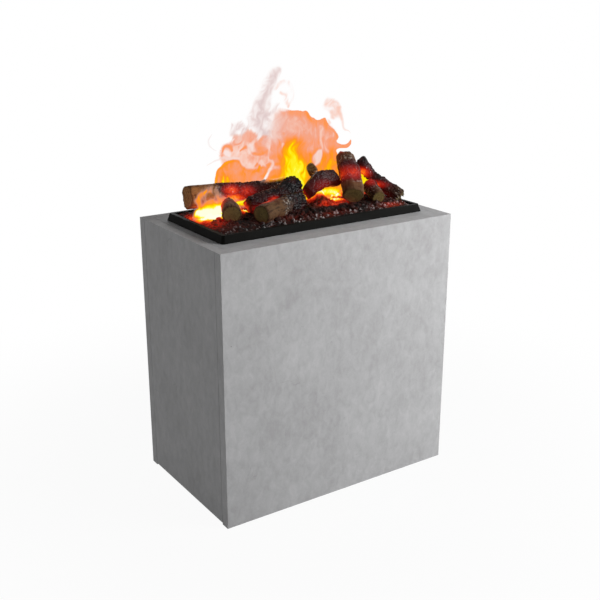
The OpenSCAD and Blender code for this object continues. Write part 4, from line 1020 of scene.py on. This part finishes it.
# %% Outlines of the billow, x and height above the plinth in mm
BILLOW = [
    (-28, 197), (0, 195), (21, 191), (39, 187), (52, 177), (63, 171), (76, 168), (89, 171),
    (96, 159), (107, 147), (114, 136), (112, 127), (123, 121), (131, 124), (136, 130), (137, 121),
    (129, 114), (113, 112), (113, 104), (128, 84), (131, 40), (60, 16), (-30, 16), (-64, 50),
    (-55, 72), (-43, 89), (-34, 103), (-45, 114), (-45, 127), (-39, 133), (-44, 143), (-43, 157),
    (-38, 170), (-36, 184)]
HEART = [
    (12, 134), (22, 122), (33, 110), (43, 94), (46, 76), (42, 50), (30, 22), (-6, 22), (-24, 52),
    (-20, 70), (-12, 84), (-8, 98), (-5, 110), (2, 124)]
HOLE = [(64, 120), (77, 115), (75, 102), (68, 90), (55, 86), (51, 102), (56, 114)]
GAP = [
    (136, 40), (138, 72), (158, 79), (172, 71), (188, 58), (206, 42), (212, 20), (206, 8), (140, 8)]
STUB_SHOWS = [(48, 87, 10), (54, 79, 12)]
PUFF = [
    (79, 203), (89, 208), (103, 205), (112, 197), (116, 180), (118, 165), (110, 167), (99, 168),
    (94, 178), (82, 184), (78, 194)]


def billow(x, z):
    """high is 1 in the crown, low in the foot, left at the ragged side, and crown along its rim."""
    w = Wash(x, z, 1)
    high, low, left = rise(z, 128, 150), rise(-z, -124, -104), rise(-x, -14, 34)
    edge = inside((x + 2 * w.sx) / 3, (z + 2 * w.sz) / 3, BILLOW)
    soft = 1.4 + left * (7 + 22 * high)
    body = rise(edge + 9 * left * (w.fibre - 0.5), -0.3 * soft, 0.7 * soft)
    crown = (1 - rise(edge, 5, 17)) * high
    warmth = 0.38 + 0.24 * low + 0.08 * crown + 0.24 * (w.fibre - 0.5) + 0.3 * (w.curl - 0.5)
    worn = left * (0.03 + 0.4 * high * (1.3 - w.fibre))
    soot = 0.46 * left * high + 0.1 * high * (1 - crown)
    w.lay(body * (0.98 - worn), warmth + 0.16 * (w.hair - 0.5), soot)
    w.lay(0.5 * body * w.thread * (0.4 + w.hair) * high * (1 - crown), 0.14, 0.06)
    w.lay(0.3 * body * w.thread * (0.4 + w.hair) * (1 - high) * rise(-x, -40, 20), 0.2)
    # Pale folds at the left, holes, and the streaked band below the crown
    w.brush([(-58, 68, 3), (-46, 87, 4), (-36, 102, 5), (-22, 106, 5), (-10, 104, 4), (-8, 116, 3)],
            0.36, 0.2)
    w.brush([(-40, 92, 6), (-28, 96, 5), (-14, 95, 5)], 0.55, 0.1)
    w.fill(HOLE, 6, 0.8, 0.0, 0.06)
    w.fill([(-6, 131), (1, 129), (1, 119), (-4, 114), (-8, 122)], 3, 0.85, 0.0)
    streaked = 0.2 + 0.6 * w.thread
    w.brush([(72, 163, 6), (80, 148, 10), (76, 133, 9), (80, 118, 8), (92, 110, 6)], streaked, 0.14)
    w.brush([(86, 158, 5), (97, 149, 9), (101, 138, 8), (93, 130, 6)], streaked, 0.14, 0.0, True)
    w.brush([(98, 152, 2), (108, 140, 3), (112, 130, 2)], 0.7, 0.5)
    w.lay(body * (1 - rise(edge, 1.2, 4)) * (1 - left) * 0.5, 0.48)
    # The yellow heart, glowing gaps between the logs, the puff and the curl
    depth = inside(w.sx, w.sz, HEART) + 18 * (w.fibre - 0.5) + 16 * (w.hair - 0.5)
    w.lay(rise(depth, -22, 6) * 0.9, 0.66 + 0.12 * (w.fibre - 0.5))
    w.lay(rise(depth, -6, 18), 0.9 + 0.14 * (w.fibre - 0.5) + 0.1 * (w.hair - 0.5))
    w.brush([(80, 56, 14), (89, 74, 13), (96, 92, 8)], 0.95, 0.8 + 0.3 * (w.fibre - 0.5))
    w.brush([(44, 24, 12), (60, 33, 13), (84, 37, 13), (106, 32, 12)], 1.0, 0.84 + 0.24 * w.fibre)
    w.fill(GAP, 5, 0.98, 0.87 + 0.1 * (w.fibre - 0.5) - 0.22 * rise(x, 178, 200), 0, 6)
    w.fill(PUFF, 9, 0.36 + 0.5 * w.thread, 0.16, 0.04, 8)
    w.brush([(112, 190, 6), (116, 172, 5), (124, 152, 4), (136, 139, 1)], 0.6, 0.22)
    # Nothing below the slot's mouth, before the stub's sawn end, or where the long log lies
    w.veil *= rise(z, 12, 22) * (1 - 0.95 * rise(stroke(x, z, STUB_SHOWS), 0, 0.3))
    w.veil *= 1 - rise(-x, -12, 4) * rise(-z, -78, -66)
    return w


print("billow's outline has", len(BILLOW), "knots")

# %% [markdown]
# The lobe and the smoke behind the long log
#
# The back curtain rises behind the long log and leans forward as it rises, so that smoke crosses
# behind the billow's crown and ends above the slot. Smoke is made of threads, so its density is
# mostly the ridges of a grain stretched along the eddies.

# %% Outlines of the lobe, swirls and smoke
LOBE = [
    (-120, 70), (-117, 83), (-110, 95), (-100, 103), (-87, 107), (-73, 106), (-64, 96), (-54, 89),
    (-43, 87), (-30, 94), (-19, 87), (1, 92), (-4, 76), (-16, 59), (-26, 30), (-118, 30)]
SWIRLS = [
    (-109, 100), (-108, 130), (-94, 141), (-92, 152), (-71, 153), (-57, 158), (-37, 151),
    (-28, 135), (-20, 120), (-6, 118), (20, 112), (25, 91), (-9, 80), (-60, 80)]
SMOKE = [
    (-64, 196), (-58, 212), (-48, 224), (-39, 236), (-36, 253), (-28, 268), (-18, 273), (-9, 268),
    (-12, 254), (-23, 240), (-26, 223), (-20, 206), (-18, 188), (-18, 169), (-6, 145), (-4, 121),
    (-25, 120), (-44, 148), (-62, 158), (-72, 176)]
LEFT_SMOKE = [
    (-108, 180), (-97, 181), (-90, 184), (-78, 180), (-64, 166), (-58, 149), (-74, 136), (-92, 142),
    (-101, 158)]


def swirls(x, z):
    """From back to front: the smoke with its hooks and the loose wisp at the left, the peach swirls
    with rings and holes, then the lobe, glowing more at its left, and the wisps before it."""
    w = Wash(x, z, 4)
    w.fill(SMOKE, 24, 0.34 + 0.5 * w.thread, 0.06, 0.7, 16)
    w.brush([(-24, 142, 20), (-36, 165, 18), (-40, 190, 14), (-40, 212, 11), (-38, 232, 8),
             (-33, 250, 7)], 0.15 + 0.4 * w.thread, 0.1, 0.9, True)
    w.brush([(-42, 214, 19), (-38, 236, 18), (-30, 254, 17), (-20, 264, 13)],
            0.26 + 0.5 * w.thread, 0.05, 0.75)
    w.brush([(-14, 205, 6), (-19, 190, 9), (-28, 180, 8), (-14, 162, 10), (-16, 141, 10)],
            0.3 + 0.5 * w.thread, 0.08, 0.8)
    w.brush([(-25, 233, 4), (-15, 242, 6), (0, 243, 8), (11, 239, 9), (14, 225, 9), (14, 208, 8),
             (10, 198, 4)], 0.12 + 0.5 * w.thread, 0.12)
    w.brush([(-14, 227, 5), (-4, 222, 7), (-4, 215, 8), (2, 207, 8), (9, 199, 5)],
            0.15 + 0.5 * w.thread, 0.2)
    w.brush([(-10, 236, 14), (2, 222, 14)], 0.16, 0.04)
    w.fill(LEFT_SMOKE, 12, 0.15 + 0.7 * w.thread, 0.06, 0.7, 16)
    w.fill(SWIRLS, 11, 0.5 + 0.6 * w.curl, 0.2 + 0.42 * w.curl, 0.2 * rise(z, 120, 150), 12)
    w.lay(rise(inside(w.sx, w.sz, SWIRLS), 0, 10) * w.thread * 0.55, 0.06)
    w.fill([(-72, 151), (-55, 157), (-37, 150), (-38, 138), (-56, 136), (-70, 141)],
           8, 0.7, 0.32, 0.05, 6)
    w.brush([(-68, 122, 3), (-58, 128, 5), (-48, 123, 4), (-38, 112, 4), (-21, 105, 4),
             (-8, 112, 4)], 0.85, 0.52)
    w.brush([(-106, 118, 2), (-103, 127, 4), (-94, 129, 5), (-87, 122, 3)], 0.85, 0.5)
    w.fill([(-103, 121), (-95, 123), (-88, 118), (-90, 112), (-98, 112), (-104, 115)], 4, 0.9, 0.0)
    w.fill([(-54, 130), (-38, 135), (-26, 127), (-27, 114), (-38, 112), (-52, 116)],
           9, 0.7, 0.0, 0.05, 8)
    w.fill([(-36, 132), (-20, 140), (0, 136), (8, 118), (-4, 102), (-26, 104), (-36, 116)],
           10, 0.4 + 0.6 * w.curl, 0.28 + 0.4 * w.curl, 0.04, 8)
    depth = inside((x + w.sx) / 2, (z + w.sz) / 2, LOBE)
    rim, left, spots = 1 - rise(depth, 2, 9), rise(-x, 60, 100), rise(w.curl, 0.5, 0.62)
    warmth = 0.57 + 0.14 * left + 0.06 * rim + 0.12 * spots + 0.55 * (w.curl - 0.5)
    w.lay(rise(depth, -0.6, 1.6 + 3 * (1 - left)) * 0.97, warmth + 0.16 * (w.hair - 0.5))
    w.lay(rise(depth, 2, 8) * w.thread * w.hair * 0.9, 0.2)
    w.brush([(-44, 92, 5), (-34, 84, 5), (-22, 92, 4), (-12, 84, 4)], 0.6, 0.12)
    w.brush([(-135, 100, 1.5), (-120, 106, 3), (-104, 109, 3), (-88, 109, 4), (-72, 109, 3)],
            0.6, 0.03, 0.2)
    w.brush([(-130, 157, 1.5), (-133, 147, 3.5), (-128, 135, 3), (-117, 125, 1.5)],
            0.45, 0.05, 0.85)
    w.veil *= rise(z, 22, 52)
    return w


print("smoke's outline has", len(SMOKE), "knots")

# %% [markdown]
# Low licks over the left embers
#
# At the left the bed glows brightest, and a low fan of vapour lies on it, nearly white, before the
# long log. It could be part of the billow, but it stands nearer to the eye than the logs that hide
# the billow's foot, so it gets a small curtain of its own.

# %% Licks over the hot embers
LICK = [
    (-188, 40), (-186, 51), (-184, 62), (-179, 71), (-171, 77), (-162, 78), (-151, 75), (-144, 67),
    (-133, 56), (-114, 48), (-99, 42), (-86, 39), (-91, 34), (-108, 34), (-124, 32), (-134, 25),
    (-147, 15), (-159, 8), (-169, 10), (-175, 16), (-187, 20), (-198, 28), (-194, 37)]


def licks(x, z):
    """A low fan of nearly white vapour over the left embers, drawn out to the right, with an orange
    veil that curls up before the long log and is open in its middle."""
    w = Wash(x, z, 8)
    depth = inside(w.sx, w.sz, LICK) + 6 * (w.fibre - 0.5)
    # The fan's painted glow is brightest at its foot.
    glowing = rise(-z, -58, -34)
    w.lay(rise(depth, -7, 9) * (0.08 + glowing + 0.8 * (w.hair + w.fibre - 0.7)),
          0.62 + 0.2 * glowing + 0.2 * (w.fibre - 0.5))
    w.brush([(-186, 38, 7), (-184, 54, 8), (-177, 67, 7), (-166, 73, 4)],
            0.3 + 0.9 * w.hair, 0.64 + 0.14 * w.hair, 0, True)
    w.brush([(-160, 70, 3), (-152, 60, 5), (-140, 51, 5), (-124, 47, 3)],
            0.1 + 0.7 * w.hair, 0.66, 0, True)
    w.brush([(-177, 44, 6), (-170, 53, 4), (-160, 55, 3)], 0.2 + 0.7 * w.fibre, 0.7)
    w.brush([(-150, 34, 12), (-134, 36, 9), (-120, 40, 6), (-106, 42, 5), (-92, 41, 4)], 1.0, 0.92)
    w.brush([(-189, 33, 11), (-174, 33, 18), (-158, 33, 19), (-142, 35, 13), (-124, 39, 6)],
            1.0, 1.04)
    middle = stroke(w.sx, w.sz, [(-171, 58, 4), (-166, 63, 7), (-159, 62, 6)])
    w.veil *= 1 - 0.85 * rise(middle, 0, 0.8)
    return w


print("licks' outline has", len(LICK), "knots")

# %% [markdown]
# Hanging the curtains
#
# A flat sheet would be a line from the side. Many sheets one behind another would be full from
# everywhere, but from the front they would blur the drawing. So each curtain is folded, and then
# its points slide along the lines of sight of the photograph, which gives it depth and leaves the
# front view as it was drawn.

# %% Hang the curtains
STRETCH, SINK, SPACING, THINNEST = 1.04, 7.0, 0.95, 0.025
EYE = np.array([-962.2, -1446.6, 932.1])


def curtain(name, wash, reach_x, reach_z, base, fold, turn, deep):
    """y = base(z) + fold x sin(x / 17 + z / 60 + turn), the folds opening above the logs. Then each
    point slides by deep x sin(x / 29 - z / 41 + 2 turn) along its line of sight. The washes were
    drawn for a slightly smaller bed, so they are stretched along x and their feet sink."""
    x, z = np.meshgrid(np.arange(*reach_x, SPACING), np.arange(*reach_z, SPACING))
    w = wash(x / STRETCH, z + SINK * (1 - rise(z, 40, 180)))
    y = base(z) + (1.5 + fold * rise(z, 60, 130)) * np.sin(x / 17 + z / 60 + turn)
    slide = deep * rise(z, 40, 110) * np.sin(x / 29 - z / 41 + 2 * turn)
    points = xyz(x, y, z + DECK)
    sight = points - EYE
    points = points + sight * (slide / sight[..., 1])[..., None]
    marks = {"warmth": w.warmth, "veil": w.veil, "soot": w.soot}
    sheet = piece(name, points, "fuel_bed", "lit_vapour", False, marks, w.veil > THINNEST)
    sheet.visible_shadow = False
    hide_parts("vapour_flames")


curtain("vapour_billow", billow, (-72, 212), (13, 216),
        lambda z: SLOT_Y + 2 * rise(z, 40, 120), 7, 0.0, 17)
curtain("vapour_swirls", swirls, (-142, 34), (20, 282),
        lambda z: 86 - 50 * rise(z, 100, 235), 5, 1.4, 15)
curtain("vapour_licks", licks, (-208, -80), (4, 78), lambda z: 20 + 0 * z, 0, 0.0, 0)
bpy.context.scene.cycles.transparent_max_bounces = 32

# %% [markdown]
# Floor, light and camera
#
# The photograph is a studio cut-out: white all round, light from the front right, a soft shade on
# the left side and on the tray's left. A dome with a picture of a studio would do, but three large
# lamps are easier to steer: a key at the right front gives the shape, a low fill at the left and a
# lamp behind lift the shade. The sky is dim for things and white to the eye, and so is the floor,
# which keeps a trace of the shadow. Under the plinth it stays plain, so that the gap below the side
# boards is dark.

# %% Studio
FLOOR_HALF, SKY, SHADOW_KEPT, SHADOW_NEAR, SHADOW_FAR = 30.0, 0.07, 0.05, 0.35, 1.1
PLINTH_X, PLINTH_Y = (0.235, 0.24), (0.137, 0.142)  # where white begins, just inside the boards


def seen(mixer):
    """1 for what the eye sees directly, in gloss or through glass, and 0 for light on things."""
    rays = ("Is Camera Ray", "Is Glossy Ray", "Is Transmission Ray")
    camera, glossy, through_glass = (mixer.add("LightPath", out=ray) for ray in rays)
    return mixer.add("Math", {"operation": "MINIMUM"}, {0: camera + glossy + through_glass, 1: 1.0})


def pale_floor():
    f = Finish("pale_floor", Roughness=0.9, Specular_IOR_Level=0.1)
    f.set(Base_Color=f.blend(f.noise(0.6, 2), (176, 176, 176), (182, 182, 182)))
    white = f.add("Emission", {}, {"Color": (255, 255, 255), "Strength": 1.0})
    away = f.add("VectorMath", {"operation": "LENGTH"}, {0: f.place()}, out=1)
    flat = f.add("VectorMath", {"operation": "ABSOLUTE"}, {0: f.place()})
    x, y = (f.add("SeparateXYZ", {}, {0: flat}, out=k) for k in range(2))
    outside = {0: f.ramp(x, *PLINTH_X), 1: f.ramp(y, *PLINTH_Y)}
    outside = f.add("Math", {"operation": "MAXIMUM"}, outside)
    eye = seen(f) * (1 - SHADOW_KEPT * f.ramp(away, SHADOW_FAR, SHADOW_NEAR)) * outside
    plain = Wire(f, f.shader.outputs[0])
    output = next(n for n in f.tree.nodes if n.type == "OUTPUT_MATERIAL")
    f.feed(output.inputs[0], f.add("MixShader", {}, {0: eye, 1: plain, 2: white}))
    return f.material


floor_mesh = bpy.data.meshes.new("floor")
square = [(-1, -1), (1, -1), (1, 1), (-1, 1)]
floor_mesh.from_pydata([(x * FLOOR_HALF, y * FLOOR_HALF, 0) for x, y in square], [], [(0, 1, 2, 3)])
floor_mesh.materials.append(pale_floor())
floor = link("floor", floor_mesh)

world = bpy.data.worlds.new("studio")
world.use_nodes = True
bpy.context.scene.world = world
sky = Mixer(world.node_tree)
background = world.node_tree.nodes["Background"]
sky.feed(background.inputs["Color"], sky.blend(seen(sky), (SKY, SKY, SKY, 1), (1, 1, 1, 1)))


def lamp(name, place, aim, size, watts):
    """A square soft lamp at place, turned towards aim."""
    light = bpy.data.lights.new(name, "AREA")
    light.size, light.energy = size, watts
    holder = link(name, light)
    holder.location = place
    holder.rotation_euler = (Vector(aim) - Vector(place)).to_track_quat("-Z", "Y").to_euler()


lamp("key", (1.15, -1.32, 1.06), (0, 0, 0.26), 0.9, 44)
lamp("fill", (-2.2, 0.4, 0.72), (0, 0, 0.3), 1.1, 9.6)
lamp("back", (1.3, 2.3, 1.3), (0, 0, 0.35), 1.4, 16)

# %% Camera
LENS, SENSOR, YAW, PITCH = 56.8, 36, 33.85, 18.76
lens = bpy.data.cameras.new("camera")
lens.lens, lens.sensor_width = LENS, SENSOR
camera = link("camera", lens)
camera.location = EYE * MM
camera.rotation_euler = (math.radians(90 - PITCH), 0, math.radians(-YAW))
bpy.context.scene.camera = camera
bpy.context.scene.view_settings.view_transform = "Standard"
print("camera", [round(c, 3) for c in camera.location], "lens in mm", LENS)
